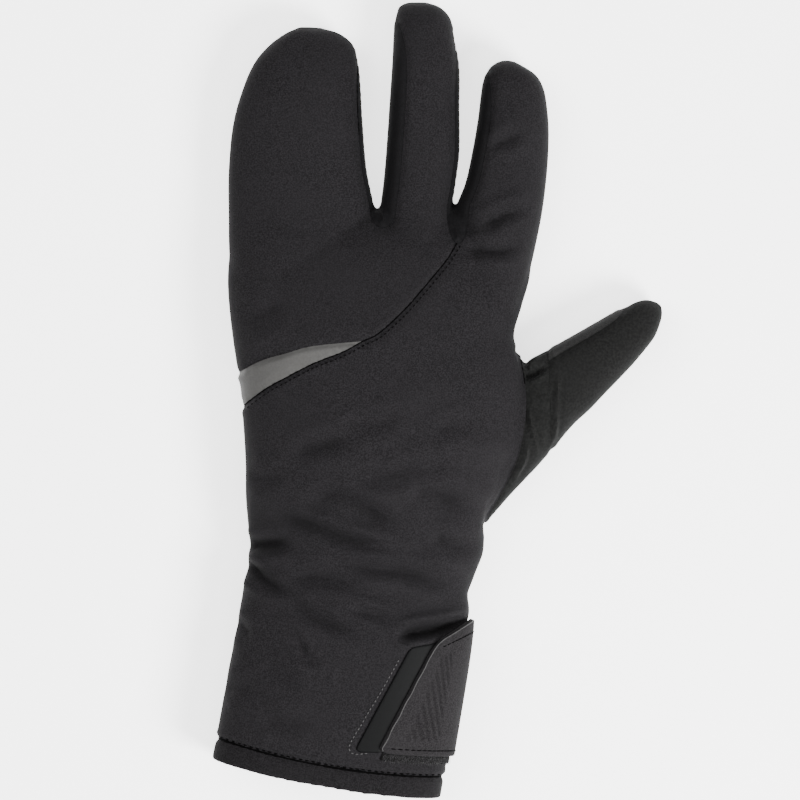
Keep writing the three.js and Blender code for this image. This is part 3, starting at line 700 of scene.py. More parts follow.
def blow_up(obj):
    """Runs the cloth simulation on a net and returns how far out each point went."""
    before, normals = points_of(obj), normals_of(obj)
    group = obj.vertex_groups.new(name="pins")
    weights = np.round(pins(before), 1)
    for weight in np.unique(weights):
        group.add(np.flatnonzero(weights == weight).tolist(), float(weight), "REPLACE")
    cloth = obj.modifiers.new("cloth", "CLOTH")
    cloth.settings.vertex_group_mass = "pins"
    cloth.settings.use_pressure = True
    cloth.settings.uniform_pressure_force = PRESSURE
    cloth.settings.effector_weights.gravity = 0
    cloth.settings.tension_stiffness = 20
    cloth.settings.bending_stiffness = 1.0
    cloth.point_cache.frame_end = SIM_FRAMES
    for frame_number in range(1, SIM_FRAMES + 1):
        bpy.context.scene.frame_set(frame_number)
    apply_modifiers(obj)
    obj.vertex_groups.clear()
    out = np.einsum("ij,ij->i", points_of(obj) - before, normals)
    bpy.context.scene.frame_set(1)
    return before, normals, out, weights


print("pressure", PRESSURE, "over", SIM_FRAMES, "frames")

# %% Blow the skin up between its seams
def carry_over(source, target, values):
    """Reads values at a coarse net's points off onto a finer net beside it."""
    for obj, colours in ((source, np.repeat(values[:, None], 4, axis=1)), (target, None)):
        layer = obj.data.color_attributes.new(name="carried", type="FLOAT_COLOR", domain="POINT")
        if colours is not None:
            layer.data.foreach_set("color", colours.ravel().astype(np.float32))
    modifier = target.modifiers.new("carry", "DATA_TRANSFER")
    modifier.object = source
    modifier.use_vert_data = True
    modifier.data_types_verts = {"COLOR_VERTEX"}
    modifier.vert_mapping = "POLYINTERP_NEAREST"
    apply_modifiers(target)
    carried = np.empty(len(target.data.vertices) * 4, np.float32)
    target.data.color_attributes["carried"].data.foreach_get("color", carried)
    target.data.color_attributes.remove(target.data.color_attributes["carried"])
    return carried.reshape(-1, 4)[:, 0].astype(float)


cloth_net = mitt_skin("cloth_net", CLOTH_NET, 6)
before, normals, out, weights = blow_up(cloth_net)
move_points(cloth_net, before)
capped = np.clip(out, 0, PUFF_CAP)
puff = (capped - capped[weights < 0.5].mean()) * ease(before[:, 2], 0.5, 4.0)
carried = carry_over(cloth_net, skin, puff)
move_points(skin, points_of(skin) + normals_of(skin) * carried[:, None])
bpy.data.objects.remove(cloth_net)
print("padding pushed out up to", round(float(out.max()), 1), "mm, kept",
      round(float(carried.min()), 2), "to", round(float(carried.max()), 2))

# %% [markdown]
# ## Folds
#
# Cloth that bends keeps folds, and this mitt has them round the wrist, at the
# strap and across the index finger. A simulation wouldn't put them where they
# are, so each fold is a line in plan with a width and a depth. Across the line
# the cloth follows a bell curve down and is pushed up a little on both sides.

# %% Fold lines, in millimetres
FOLDS = [
    # width, depth, points from one end to the other
    (2.6, 1.35, [(-52, -57), (-43.5, -55.5), (-35.5, -54.5), (-26, -53)]),
    (2.4, 1.5, [(-52, -58.5), (-43.5, -64), (-37.5, -69), (-26, -75.5)]),
    (2.8, 0.95, [(-33, -72), (-22.5, -80), (-10, -85.5), (0, -87)]),
    (3.4, 1.0, [(-27, -42), (-22.5, -39.5), (-13, -36.5), (-2.5, -40), (9, -47), (20, -52)]),
    (2.4, 1.1, [(-39, -43), (-22.5, -47), (-10, -52), (3.5, -55), (19, -58)]),
    (4.0, 0.95, [(14, -35), (24, -35.5), (33, -38.5), (39.5, -44)]),
    (3.0, 0.9, [(24, -50), (32, -54.5), (42, -57.5)]),
    (3.0, 0.9, [(-31, -65), (-20, -66), (-10, -67.5), (4, -71)]),
    (2.8, 1.0, [(-18, -60), (0, -63), (14, -65), (26, -68), (33, -72.5), (37.5, -79)]),
    (2.4, 2.3, [(9.5, -90.3), (18.5, -88), (28, -86.7), (37.5, -84.5), (44, -82)]),
    (2.0, 0.7, [(-8, -78), (4, -81), (10, -85), (13, -90)]),
    (1.8, 0.65, [(-29, -90), (-25, -93), (-22.5, -97.5), (-15.5, -100)]),
    (3.4, 0.65, [(-56, -110), (-51, -109), (-40, -109)]),
    (3.2, 0.65, [(-41, -100), (-32, -105), (-24, -110)]),
    (2.6, 0.75, [(-52, -84), (-48, -85.5), (-43, -91)]),
    (3.2, 0.7, [(-42, -119.5), (-30, -122), (-18, -122.5)]),
    (3.6, 0.9, [(-31, -20.5), (-15, -17), (2, -12)]),
    (3.2, 0.65, [(-45, -29), (-37, -29.5), (-30, -29)]),
    (3.4, 0.85, [(-8, -30), (8, -29), (18.5, -26.5), (36, -24)]),
    (3.2, 0.6, [(-12, -8.5), (4, -9), (16, -4)]),
    (3.2, 0.6, [(24, -12), (34, -10), (42, -12)]),
    (2.4, 0.85, [(43, 66), (50, 69.5), (56, 71.5), (63, 72)]),
    (2.6, 0.9, [(36, 58.7), (44, 57.2), (52, 57), (61, 59)]),
    (2.4, 0.8, [(46, 97), (54, 99), (60, 103)]),
    (4.4, 0.55, [(-48, 30), (-39, 33), (-28, 39)]),
    (3.6, 0.5, [(-46, 12), (-38, 16), (-26, 20)]),
    (0.9, -0.45, [(61, -1), (63.5, -14), (65.5, -21.5)]),
    (0.9, -0.4, [(73.4, 14), (72.5, 2), (71.5, -12), (67, -24)]),
    (0.9, -0.45, [(62, -13), (59.5, -24), (55, -33)]),
    (1.2, 1.1, [(60, 9.5), (63.5, 9.6), (68.5, 13.5)]),
]
FOLD_GAIN = 1.75
print(len(FOLDS), "folds")

# %% Bumps, in millimetres
BUMPS = [
    # x, y, half width, half length, turn in degrees, height
    (38.0, -78.5, 5.0, 8.0, 10, 0.8),
    (28.0, -81.0, 7.0, 4.0, 12, 0.7),
    (-36.0, -60.0, 9.0, 3.0, -14, 0.5),
    (52.0, 106.0, 5.5, 3.0, 20, 0.35),
    (56.0, 76.0, 6.0, 3.0, 8, 0.35),
    (64.5, 13.2, 4.3, 2.0, 34, 2.4),
    (44.0, -57.0, 5.0, 7.5, 0, 1.5),
    (6.4, 69.0, 0.9, 2.6, 0, 1.3),
    (34.6, 61.5, 0.9, 3.0, 12, 1.3),
]
print(len(BUMPS), "bumps")

# %% Folds and bumps as heights
def fold_relief(plan, facing):
    """
    How far folds and bumps move the cloth out at each plan point, less than zero in.
    facing says where they show in full: the mitt's outline keeps little of them.
    """
    relief = np.zeros(len(plan))
    for width, depth, points in FOLDS:
        line = through(points, 5)
        low, high = line.min(axis=0) - 4 * width, line.max(axis=0) + 4 * width
        near = np.all((plan > low) & (plan < high), axis=1)
        away, place = beside(plan[near], line)
        length = line_length(line)
        fade = ease(place, 0, 0.28 * length) * ease(length - place, 0, 0.38 * length)
        off = np.abs(away) / width
        bell = 0.5 * np.exp(-((off - 2.0) / 0.9) ** 2) - 0.8 * np.exp(-off**2)
        bell -= 0.3 * np.exp(-(2.2 * off) ** 2)
        relief[near] += FOLD_GAIN * depth * fade * facing[near] * bell
    for x, y, half_width, half_length, turn, height in BUMPS:
        c, s = math.cos(math.radians(turn)), math.sin(math.radians(turn))
        u = ((plan[:, 0] - x) * c + (plan[:, 1] - y) * s) / half_width
        v = (-(plan[:, 0] - x) * s + (plan[:, 1] - y) * c) / half_length
        relief += height * np.exp(-(u**2 + v**2))
    return relief


first_fold = through(FOLDS[0][2], 5)
print("first fold", round(float(fold_relief(first_fold, np.ones(len(first_fold))).min()), 1), "mm")

# %% Small unevenness
def ripples(plan, count, shortest, longest, across, seed):
    """
    A sum of sines in plan. Their crests run mostly across the hand, and a slow
    sine bends them, because cloth never ripples in straight lines.
    """
    draw = np.random.default_rng(seed)
    wave = draw.uniform(shortest, longest, count)
    heading = draw.normal(math.pi / 2, across, count)
    phase = draw.uniform(0, 2 * math.pi, count)
    bend = 3.0 * np.sin(plan[:, 0] / 13 + 1.3) + 2.0 * np.sin(plan[:, 1] / 17 + 0.4)
    total = np.zeros(len(plan))
    for length, turn, start in zip(wave, heading, phase):
        place = plan[:, 0] * math.cos(turn) + (plan[:, 1] + bend) * math.sin(turn)
        total += np.sin(2 * math.pi * place / length + start) * length / longest
    return total / math.sqrt(count)


def unevenness(plan):
    """Broad soft ripples everywhere, and finer ones round the wrist and the cuff."""
    wrist = np.exp(-(((plan[:, 1] + 66) / 44) ** 2))
    broad = ripples(plan, 14, 16, 34, 0.5, 3)
    fine = ripples(plan, 18, 6, 14, 0.35, 5)
    return (0.2 + 0.55 * wrist) * broad + (0.04 + 0.22 * wrist) * fine


print("unevenness at the wrist", unevenness(np.array([[0.0, -66.0]])).round(2), "mm")

# %% Grooves of the seams
SEAM_DEPTH, SEAM_WIDTH = 0.85, 1.15
LAP_HEIGHT, STITCH_INSET, STITCH_DEPTH, PUCKER_PITCH = 0.4, 2.0, 0.28, 3.3


def seam_relief(plan, line, lap=0.0, stitched=0.0, depth=SEAM_DEPTH):
    """
    A seam's cross-section: a bell-shaped groove, a raised lap on the line's left
    where lap is 1, a shallow stitch channel on its right where stitched is 1, and
    puckers along it.
    """
    low, high = line.min(axis=0) - 8, line.max(axis=0) + 8
    near = np.all((plan > low) & (plan < high), axis=1)
    away, place = beside(plan[near], line)
    groove = -depth * np.exp(-((away / SEAM_WIDTH) ** 2))
    raised = lap * LAP_HEIGHT * np.exp(-(((away - 1.9) / 1.3) ** 2))
    channel = -stitched * STITCH_DEPTH * np.exp(-(((away + STITCH_INSET) / 0.6) ** 2))
    pucker = 0.10 * np.sin(2 * np.pi * place / PUCKER_PITCH) * np.exp(-((away / 2.6) ** 2))
    relief = np.zeros(len(plan))
    relief[near] = groove + raised + channel + pucker
    return relief


print("main seam", round(float(seam_relief(main_seam, main_seam).min()), 1), "mm")

# %% All relief together
def relief_of(points, normals):
    """All that is pressed into the skin, in millimetres out of it."""
    plan, z = points[:, :2], points[:, 2]
    facing = 0.12 + 0.88 * ease(normals[:, 2], 0.05, 0.6)
    back = ease(z, SIDE_SEAM_HEIGHT - 2, SIDE_SEAM_HEIGHT + 3)
    off_table = ease(z, 1.0, 6.0)
    covered = under_strap(plan)
    on_hem, _ = beside(plan, hem_seam)
    free = (1 - covered) * ease(on_hem, -3.0, 2.0)
    bent = fold_relief(plan, facing) * free + unevenness(plan) * (1 - covered) * facing
    relief = bent * off_table
    seams = seam_relief(plan, main_seam, lap=-1)
    for line, lap, stitched, depth in [
        (wedge_top, 1, 0, 0.6), (wedge_bottom, 0.5, 1, 0.7), (ring_middle_strip, 0, 0, 0.4),
        (middle_index_strip, 0, 0, 0.4), (thumb_edge, -0.6, 0, 1.0), (hem_seam, 0.8, 0, 1.0),
    ]:
        other = seam_relief(plan, line, lap, stitched, depth)
        seams = np.where(np.abs(seams) > 0.2, seams, seams + other)
    relief += seams * back * (1 - covered)
    side = np.exp(-(((z - SIDE_SEAM_HEIGHT) / 1.2) ** 2)) * (plan[:, 0] < 60)
    relief -= 0.5 * side * ease(on_hem, 0, 2)
    for line, lap, depth in [(thumb_seam, 0.8, 0.2), (thumb_strip, 0.5, 0.35)]:
        relief += seam_relief(plan, line, lap, depth=depth) * off_table * (plan[:, 0] > 60)
    return relief


sampled = relief_of(points_of(skin)[SAMPLE], normals_of(skin)[SAMPLE])
print("relief about", round(float(sampled.min()), 1), "to", round(float(sampled.max()), 1), "mm")

# %% [markdown]
# ## The relief pressed into the skin
#
# Folds and grooves could be bump in a material, but then they would be missing
# from the mesh and its outline. The skin's points lie under a millimetre apart,
# close enough to carry them, so each point moves along its normal instead.

# %% Press
SHADE_FULL_DEPTH = 2.8


def press(obj, share=1.0):
    """
    Moves each point along its normal by the relief, and none below the table.
    How deep it lies is kept as a point attribute, from 0 to 1, for painted shade: the finishes darken
    the cloth where it lies deep.
    """
    points, normals = points_of(obj), normals_of(obj)
    relief = share * relief_of(points, normals)
    points = points + normals * relief[:, None]
    points[:, 2] = np.maximum(points[:, 2], 0)
    move_points(obj, points)
    # painted shade: how deep each point lies, which the finishes turn into darker colour in folds and
    # seams
    layer = obj.data.attributes.new("depth_and_shade", "FLOAT", "POINT")
    layer.data.foreach_set("value", ease(-relief, 0.5, SHADE_FULL_DEPTH).astype(np.float32))


press(skin)
skin_tree = tree_of(skin)
print("fine skin", len(skin.data.vertices), "points")

# %% [markdown]
# ## The lining
#
# Inside is a soft lining, seen at the cuff's mouth. It could be a second skin
# made by Solidify, but Solidify would fold over itself in the fingers. The same
# tubes made smaller by the wall give a clean inside. They pass the cuff's edge,
# so that taking them away opens it.

# %% Hollow the skin
def in_slot(obj, material):
    """Gives an object one material."""
    obj.data.materials.clear()
    obj.data.materials.append(material)


outside_cloth = bpy.data.materials.new("outside")
lining_cloth = bpy.data.materials.new("fleece lining")
LINING_INSET, LINING_NET, LINING_RELIEF, PAST_MOUTH = 3.5, 2.4, 0.8, 9.0
inset_digits = [digit_tube(digit, LINING_INSET) for digit in DIGITS.values()]
lining = tubes_object("lining", [body_tube(LINING_INSET, past=PAST_MOUTH), *inset_digits])
remesh(lining, LINING_NET)
relax(lining, 4, push=-0.45)
press(lining, LINING_RELIEF)
in_slot(skin, outside_cloth)
in_slot(lining, lining_cloth)


def cut(obj, cutters):
    """Takes closed shapes away from an object, one after the other."""
    for number, cutter in enumerate(cutters):
        modifier = obj.modifiers.new(f"cut_{number}", "BOOLEAN")
        modifier.operation = "DIFFERENCE"
        modifier.solver = "MANIFOLD"
        modifier.object = cutter
    apply_modifiers(obj)
    for cutter in cutters:
        bpy.data.objects.remove(cutter)


cut(skin, [lining])
print("shell", len(skin.data.polygons), "faces")

# %% [markdown]
# ## Cut along the seams
#
# A pattern cutter's panels come apart along the seams. Thin upright blades along
# the seam lines, and a thin flat plate at the height of the side seam, cut the
# shell the same way. Then each loose part is one panel.

# %% Blades and plates
BLADE = 0.1
UNDER, OVER = -20.0, 80.0


def blade(name, line, low, high=OVER):
    """A thin wall along a plan line: the line moved to both sides, low and high."""
    run = np.gradient(line, axis=0)
    side = np.stack([-run[:, 1], run[:, 0]], -1) / np.hypot(*run.T)[:, None] * (BLADE / 2)
    left, right = line + side, line - side
    ring = [(left, low), (right, low), (right, high), (left, high)]
    points = np.stack([np.c_[p, np.full(len(p), z)] for p, z in ring], axis=1)
    made = new_object(name, points, tube_faces(len(line), 4), smooth=False)
    outward(made)
    return made


def plate(name, outline, low, high):
    """A flat plate with a plan outline, between two heights."""
    count = len(outline)
    points = np.vstack([np.c_[outline, np.full(count, low)], np.c_[outline, np.full(count, high)]])
    i = np.arange(count)
    walls = np.stack([i, (i + 1) % count, (i + 1) % count + count, i + count], -1)
    faces = [i[::-1].tolist(), (i + count).tolist(), *walls.tolist()]
    made = new_object(name, points, faces, smooth=False)
    outward(made)
    return made


print("blades", BLADE, "mm thick")

# %% Cut the shell into its panels
seam_low, seam_high = SIDE_SEAM_HEIGHT - SEAM_GAP / 2, SIDE_SEAM_HEIGHT + SEAM_GAP / 2
beyond_thumb = digit_plan(THUMB, -THUMB["width"], 1.4 * THUMB["length"])
side_outline = np.vstack([
    [(-BEYOND, hem_seam[0, 1])], hem_seam, [(BEYOND, hem_seam[-1, 1])],
    [(BEYOND, thumb_edge[-1, 1])], thumb_edge[::-1],
    [beyond_thumb, (BEYOND, BEYOND), (-BEYOND, BEYOND)],
])
strip_outline = np.vstack([
    thumb_strip, [digit_plan(THUMB, -THUMB["width"], 1.1 * THUMB["length"])],
    [digit_plan(THUMB, -THUMB["width"], 0.5 * THUMB["length"])], thumb_seam[:1],
])
cut(skin, [
    blade("hem_blade", hem_seam, UNDER),
    blade("wrist_blade", wrist_seam, UNDER, seam_high),
    plate("side_plate", side_outline, seam_low, seam_high),
    blade("thumb_edge_blade", thumb_edge, seam_low),
    blade("thumb_blade", thumb_seam, UNDER),
    blade("thumb_strip_blade", thumb_strip, seam_low),
    plate("thumb_strip_plate", strip_outline, seam_low, seam_high),
    *[blade(f"back_blade_{n}", line, seam_low) for n, line in enumerate(BACK_SEAMS[:5])],
])
print("cut shell", len(skin.data.polygons), "faces")

# %% The ten panels
PANELS = {
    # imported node: material slot, how full its padding is
    "back_upper_panel": ("softshell", 0.4),
    "back_lower_panel": ("softshell", 0.4),
    "reflective_wedge": ("reflective", 0.2),
    "fourchette_ring_middle": ("strip_cloth", 0.2),
    "fourchette_middle_index": ("strip_cloth", 0.2),
    "palm_panel": ("suede", 0.4),
    "thumb": ("suede", 0.4),
    "thumb_fourchette": ("strip_cloth", 0.2),
    "cuff_palm_panel": ("softshell", 0.3),
    "cuff_hem": ("hem_cloth", 0.3),
}
print(len(PANELS), "panels")

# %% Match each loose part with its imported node
def mean_distance(points, tree):
    """How far points lie from a surface, on average."""
    return sum(tree.find_nearest(point)[3] for point in points) / len(points)


def loose_parts(obj):
    """Splits an object into its connected parts."""
    bpy.ops.object.select_all(action="DESELECT")
    obj.select_set(True)
    bpy.context.view_layer.objects.active = obj
    bpy.ops.mesh.separate(type="LOOSE")
    return list(bpy.context.selected_objects)


node_trees = {name: tree_of(frame["nodes"][name]) for name in PANELS}
panels = {}
parts = sorted(loose_parts(skin), key=lambda part: -len(part.data.vertices))
for part in parts[: len(PANELS)]:
    points = points_of(part)
    sample = points[:: max(1, len(points) // 150)].tolist()
    free = [name for name in node_trees if name not in panels]
    best = min(free, key=lambda name: mean_distance(sample, node_trees[name]))
    panels[best] = part
for crumb in parts[len(PANELS):]:
    bpy.data.objects.remove(crumb)
for name, part in sorted(panels.items()):
    part.name = f"{name}_cloth"
    part.data.shade_smooth()
    part.data.set_sharp_from_angle(angle=math.radians(50))
    print(f"{name:24}", len(part.data.vertices), "points")

# %% [markdown]
# ## Strap, tape and loop patch
#
# Three flat layers lie over the thumb side of the cuff. Flat straps are modelled
# directly, because a remesh would erase them. Each is a patch with two
# parameters, u round the cuff and v down it, set at a height above the cuff's own
# sections, so it hugs the cuff wherever the tables put it.

# %% A patch on the cuff
def reach_angle(reach, right):
    """The section angle at a reach, which is the distance across, folded at the side."""
    inner = np.clip(np.where(reach <= right, reach, 2 * right - reach) / right, 0, 1)
    angle = np.arccos(inner ** (1 / ROUNDNESS))
    return np.where(reach <= right, angle, -angle)


def side_reach(share):
    """The reach at which the cuff's side comes down to the side seam."""
    size = section_sizes(CUFF, share, CUFF_REACH, CUFF_WIDTH, CUFF_THICKNESS)
    widest = WIDEST_SHARE * size["top"]
    sine = ((widest - seam_high - 0.2) / (FLATTENED * widest)) ** (1 / ROUNDNESS)
    return size["right"] * (2 - np.sqrt(1 - sine**2) ** ROUNDNESS)


print("cuff's side at its mouth", round(float(side_reach(1.0)), 1), "mm out")

# %% A straight-edged patch
def between(start, end, share):
    """The value that lies a share of the way from start to end."""
    return start + (end - start) * share


def patch_place(tip, toe, top_aside, foot_aside):
    """
    A function of u, v and height for a patch with straight edges in reach and
    share of the cuff. tip and toe end its left edge. top_aside and foot_aside
    are the shares at which its other two edges meet the side seam.
    """
    def place(u, v, height):
        left, left_share = (between(tip[k], toe[k], v) for k in (0, 1))
        aside_share = between(top_aside, foot_aside, v)
        right = follow(CUFF, "right", left_share) * CUFF_WIDTH
        start = reach_angle(left * CUFF_WIDTH, right)
        end = reach_angle(side_reach(aside_share), right)
        angle = between(start, end, u)
        across = right * np.abs(np.cos(angle)) ** ROUNDNESS
        reach = np.where(angle >= 0, across, 2 * right - across)
        gone = (reach - left * CUFF_WIDTH) / (side_reach(aside_share) - left * CUFF_WIDTH)
        share = between(left_share, aside_share, gone)
        sizes = shrink(section_sizes(CUFF, share, CUFF_REACH, CUFF_WIDTH, CUFF_THICKNESS), -height)
        side, up = section(sizes, angle)
        x, y = body_plan(side, -sizes["along"] - bow(side, -sizes["along"]))
        return np.stack([x, y, up], -1)
    return place


def patch_size(place):
    """Length of a patch's middle lines, in millimetres."""
    t, half = np.linspace(0, 1, 60), np.full(60, 0.5)
    lines = place(t, half, 0.0), place(half, t, 0.0)
    return [float(np.linalg.norm(np.diff(line, axis=0), axis=1).sum()) for line in lines]


STRAP_ASIDE, STRAP_FOOT = 0.305, 0.836
strap_place = patch_place(STRAP_TIP, STRAP_TOE, STRAP_ASIDE, STRAP_FOOT)
print("strap", [round(size, 1) for size in patch_size(strap_place)], "mm")

# %% A slab with rolled edges and rounded corners
RIB_DEPTH, WELD_GAP = 0.32, 0.01


def spaced(size, rim, step):
    """Shares of a length: close together within the rim at both ends, even between."""
    edge = rim * (1 - np.cos(np.linspace(0, np.pi / 2, 6)))
    middle = np.linspace(rim, size - rim, max(int((size - 2 * rim) / step), 2) + 1)
    return np.r_[edge[:-1], middle, size - edge[-2::-1]] / size


def round_corner(x, y, radius):
    """
    Bends the square at a corner into a quarter disc: each coordinate, measured
    back from the disc's centre, is scaled by the root of 1 - half the other's
    square.
    """
    a, b = np.clip(1 - x / radius, 0, 1), np.clip(1 - y / radius, 0, 1)
    inside = (a > 0) & (b > 0)
    new_x = radius * (1 - a * np.sqrt(1 - b * b / 2))
    new_y = radius * (1 - b * np.sqrt(1 - a * a / 2))
    return np.where(inside, new_x, x), np.where(inside, new_y, y)


def slab(name, place, low, thick, rim, radii, step=0.6, relief=None):
    """
    A closed layer: over a flat underside the height follows a quarter circle in
    from each edge, h = thick · sqrt(1 - (1 - d / rim)²). radii are those of the
    top left, foot left, top right and foot right corners.
    """
    across, down = patch_size(place)
    u, v = np.meshgrid(spaced(across, rim, step), spaced(down, rim, step), indexing="ij")
    x, y = u * across, v * down
    edge = np.minimum(np.minimum(x, across - x), np.minimum(y, down - y))
    rise = thick * np.sqrt(1 - (1 - np.clip(edge / rim, 0, 1)) ** 2)
    depth_and_shade = relief(x, y, down) * ease(edge, rim, 2 * rim) if relief else 0 * rise
    rise = rise - RIB_DEPTH * depth_and_shade
    x, y = round_corner(x, y, radii[0])
    x, foot = round_corner(x, down - y, radii[1])
    aside, y = round_corner(across - x, down - foot, radii[2])
    aside, foot = round_corner(aside, down - y, radii[3])
    u, v = 1 - aside / across, 1 - foot / down
    top, under = place(u, v, low + rise), place(u, v, low + 0 * rise)
    rows_, columns_ = u.shape
    i, j = np.meshgrid(np.arange(rows_ - 1), np.arange(columns_ - 1), indexing="ij")
    quad = np.stack([i * columns_ + j, (i + 1) * columns_ + j,
                     (i + 1) * columns_ + j + 1, i * columns_ + j + 1]).reshape(4, -1).T
    faces = [*quad.tolist(), *(quad[:, ::-1] + u.size).tolist()]
    made = new_object(name, np.vstack([top.reshape(-1, 3), under.reshape(-1, 3)]), faces)
    # painted shade: the grooves' depth is kept as a point attribute, so that the strap's finish
    # darkens inside them
    layer = made.data.attributes.new("depth_and_shade", "FLOAT", "POINT")
    layer.data.foreach_set("value", np.r_[depth_and_shade.ravel(), 0 * depth_and_shade.ravel()].astype(np.float32))
    weld(made)
    return made


def weld(obj):
    """Merges points that meet and turns the faces of the closed mesh outwards."""
    bm = bmesh.new()
    bm.from_mesh(obj.data)
    bmesh.ops.remove_doubles(bm, verts=bm.verts, dist=WELD_GAP * MM)
    bmesh.ops.recalc_face_normals(bm, faces=bm.faces)
    bm.to_mesh(obj.data)
    bm.free()
    obj.data.shade_smooth()


print("grooves", RIB_DEPTH, "mm deep")

# %% The strap and its moulded grooves
STRAP_THICK, TAPE_THICK, LAYER_GAP, STRAP_OVERLAP, LOOP_EDGE = 1.4, 1.0, 0.3, 1.5, 3.0
STRAP_SINK, TAPE_SINK = 0.4, 0.5
STRAP_CORNER, STRAP_TOE_CORNER = 4.5, 3.0
RIB_LEAN, RIB_PITCH = 0.4, 2.0


def grooves(x, y, down):
    """Grooves in a panel of the strap, 0 to 1: a rounded wave of x that leans with y."""
    start, end = 5 - 0.02 * y, 10 + 0.11 * y
    panel = ease(x, start, start + 1) * ease(end - x, 0, 1) * ease(y, 8, 9) * ease(down - y, 6, 7)
    wave = 0.5 - 0.5 * np.cos(2 * np.pi * (x - RIB_LEAN * y) / RIB_PITCH)
    return panel * ease(wave, 0.3, 0.8)


strap_low = LAYER_GAP + TAPE_THICK + LAYER_GAP - STRAP_SINK
strap = slab("strap", strap_place, strap_low, STRAP_THICK, 0.8,
             (STRAP_CORNER, STRAP_TOE_CORNER, 1.0, 1.0), step=0.45, relief=grooves)
print(strap.name, len(strap.data.polygons), "faces")

# %% The tape and the loop patch
TAPE_MIDDLE = 0.6
over = STRAP_OVERLAP / CUFF_WIDTH
down_share = LOOP_EDGE / CUFF_REACH


def tape_place(u, v, height):
    """The tape from its own left edge to just under the strap, mixed linearly by u."""
    right = follow(CUFF, "right", TAPE_MIDDLE) * CUFF_WIDTH
    left, left_share = (between(TAPE_TIP[k], TAPE_TOE[k], v) for k in (0, 1))
    end, end_share = (between(STRAP_TIP[k], STRAP_TOE[k], v) for k in (0, 1))
    end = end + over
    angle = reach_angle(between(left, end, u) * CUFF_WIDTH, right)
    share = between(left_share, end_share, u)
    sizes = shrink(section_sizes(CUFF, share, CUFF_REACH, CUFF_WIDTH, CUFF_THICKNESS), -height)
    side, up = section(sizes, angle)
    x, y = body_plan(side, -sizes["along"] - bow(side, -sizes["along"]))
    return np.stack([x, y, up], -1)


tape_low = LAYER_GAP - TAPE_SINK
tape = slab("tape", tape_place, tape_low, TAPE_THICK, 0.6, (2.5, 3.0, 0.5, 0.5))
loop_place = patch_place((STRAP_TIP[0] + over, STRAP_TIP[1]),
                         (STRAP_TOE[0] + over, STRAP_TOE[1] + down_share),
                         STRAP_ASIDE + 0.01, STRAP_FOOT + down_share)
loop = slab("loop_pad", loop_place, tape_low, TAPE_THICK, 0.5, (0.8, 1.5, 0.8, 0.8))
for piece in (tape, loop):
    print(piece.name, len(piece.data.polygons), "faces")

# %% [markdown]
# ## Thread
#
# Thread is thin, but a glove without stitches looks moulded. Each stitch is a
# small capsule lying along its line, and all stitches of a line are one mesh.
# Their places come from rays cast down onto the skin, so they lie in its folds.
# Where panels meet, a thin near-black cord fills the groove: it closes the cut so
# that no light comes through the seam, and its dark line is painted shade in the groove.

# %% Places on the skin
def evenly(line, pitch):
    """Plan points at even steps along a line."""
    gone = np.r_[0, np.cumsum(np.hypot(*np.diff(line, axis=0).T))]
    at = np.arange(pitch / 2, gone[-1], pitch)
    return np.stack([np.interp(at, gone, line[:, k]) for k in range(2)], -1)


def on_skin(plan):
    """The highest point of the skin over each plan point, and its normal."""
    hits = [skin_tree.ray_cast(Vector((x, y, 90)), Vector((0, 0, -1))) for x, y in plan]
    hits = [hit for hit in hits if hit[0] is not None]
    return np.array([hit[0] for hit in hits]), np.array([hit[1] for hit in hits])


def aside(line, distance):
    """A line moved to its left by a distance, or to its right by a minus one."""
    run = np.gradient(line, axis=0)
    return line + distance * np.stack([-run[:, 1], run[:, 0]], -1) / np.hypot(*run.T)[:, None]


def unit(vectors):
    """Vectors made one long."""
    return vectors / np.linalg.norm(vectors, axis=-1, keepdims=True)


print(len(evenly(main_seam, 1.9)), "places 1.9 mm apart along the main seam")

# %% Stitches and cords
def stitches(name, points, normals, length, radius, sink=0.3):
    """
    One capsule at each point: its radius swells as the root of 1 - t⁴ from end to
    end, and it is sunk into the cloth by a share of its radius.
    """
    run = unit(np.gradient(points, axis=0))
    side = unit(np.cross(run, normals))
    up = np.cross(side, run)
    t = np.linspace(-0.97, 0.97, 6)
    angle = np.linspace(0, 2 * np.pi, 6, endpoint=False)
    swell = radius * (1 - t**4) ** 0.5
    ring = np.cos(angle)[:, None] * side[:, None, :] + np.sin(angle)[:, None] * up[:, None, :]
    centre = points + normals * radius * (1 - sink)
    net = (centre[:, None, None, :] + (t * length / 2)[None, :, None, None] * run[:, None, None, :]
           + swell[None, :, None, None] * ring[:, None, :, :])
    faces = [face for n in range(len(points)) for face in tube_faces(6, 6, n * 36)]
    made = new_object(name, net, faces)
    outward(made)
    return made


def cord_tube(name, points, normals, radius, around=8):
    """A thin round cord: a circle carried along a path, in the path's own frame."""
    run = unit(np.gradient(points, axis=0))
    side = unit(np.cross(run, normals))
    up = np.cross(side, run)
    angle = np.linspace(0, 2 * np.pi, around, endpoint=False)
    ring = np.cos(angle)[:, None] * side[:, None, :] + np.sin(angle)[:, None] * up[:, None, :]
    made = new_object(name, points[:, None, :] + radius * ring, tube_faces(len(points), around))
    outward(made)
    return made


# %% Sew the back, the hem and the tape
CORD_PITCH, TIP_POINTS = 0.8, 14
WEDGE_END, WEB_FOOT = -47, 5.0


def sewn(name, line, pitch, length, radius):
    """Stitches along a plan line on the skin."""
    return stitches(name, *on_skin(evenly(line, pitch)), length, radius)


def shade_cord_in(name, line, radius):
    """A near-black cord in a seam's groove, pulled in and let go a little as thread pulls: its dark
    line is painted shade in the groove, and it closes the cut.
    """
    points, normals = on_skin(evenly(line, CORD_PITCH))
    pull = 0.12 * np.sin(np.arange(len(points)) * 2.1) + 0.08 * np.sin(np.arange(len(points)) * 0.7)
    return cord_tube(name, points + normals * pull[:, None], normals, radius)


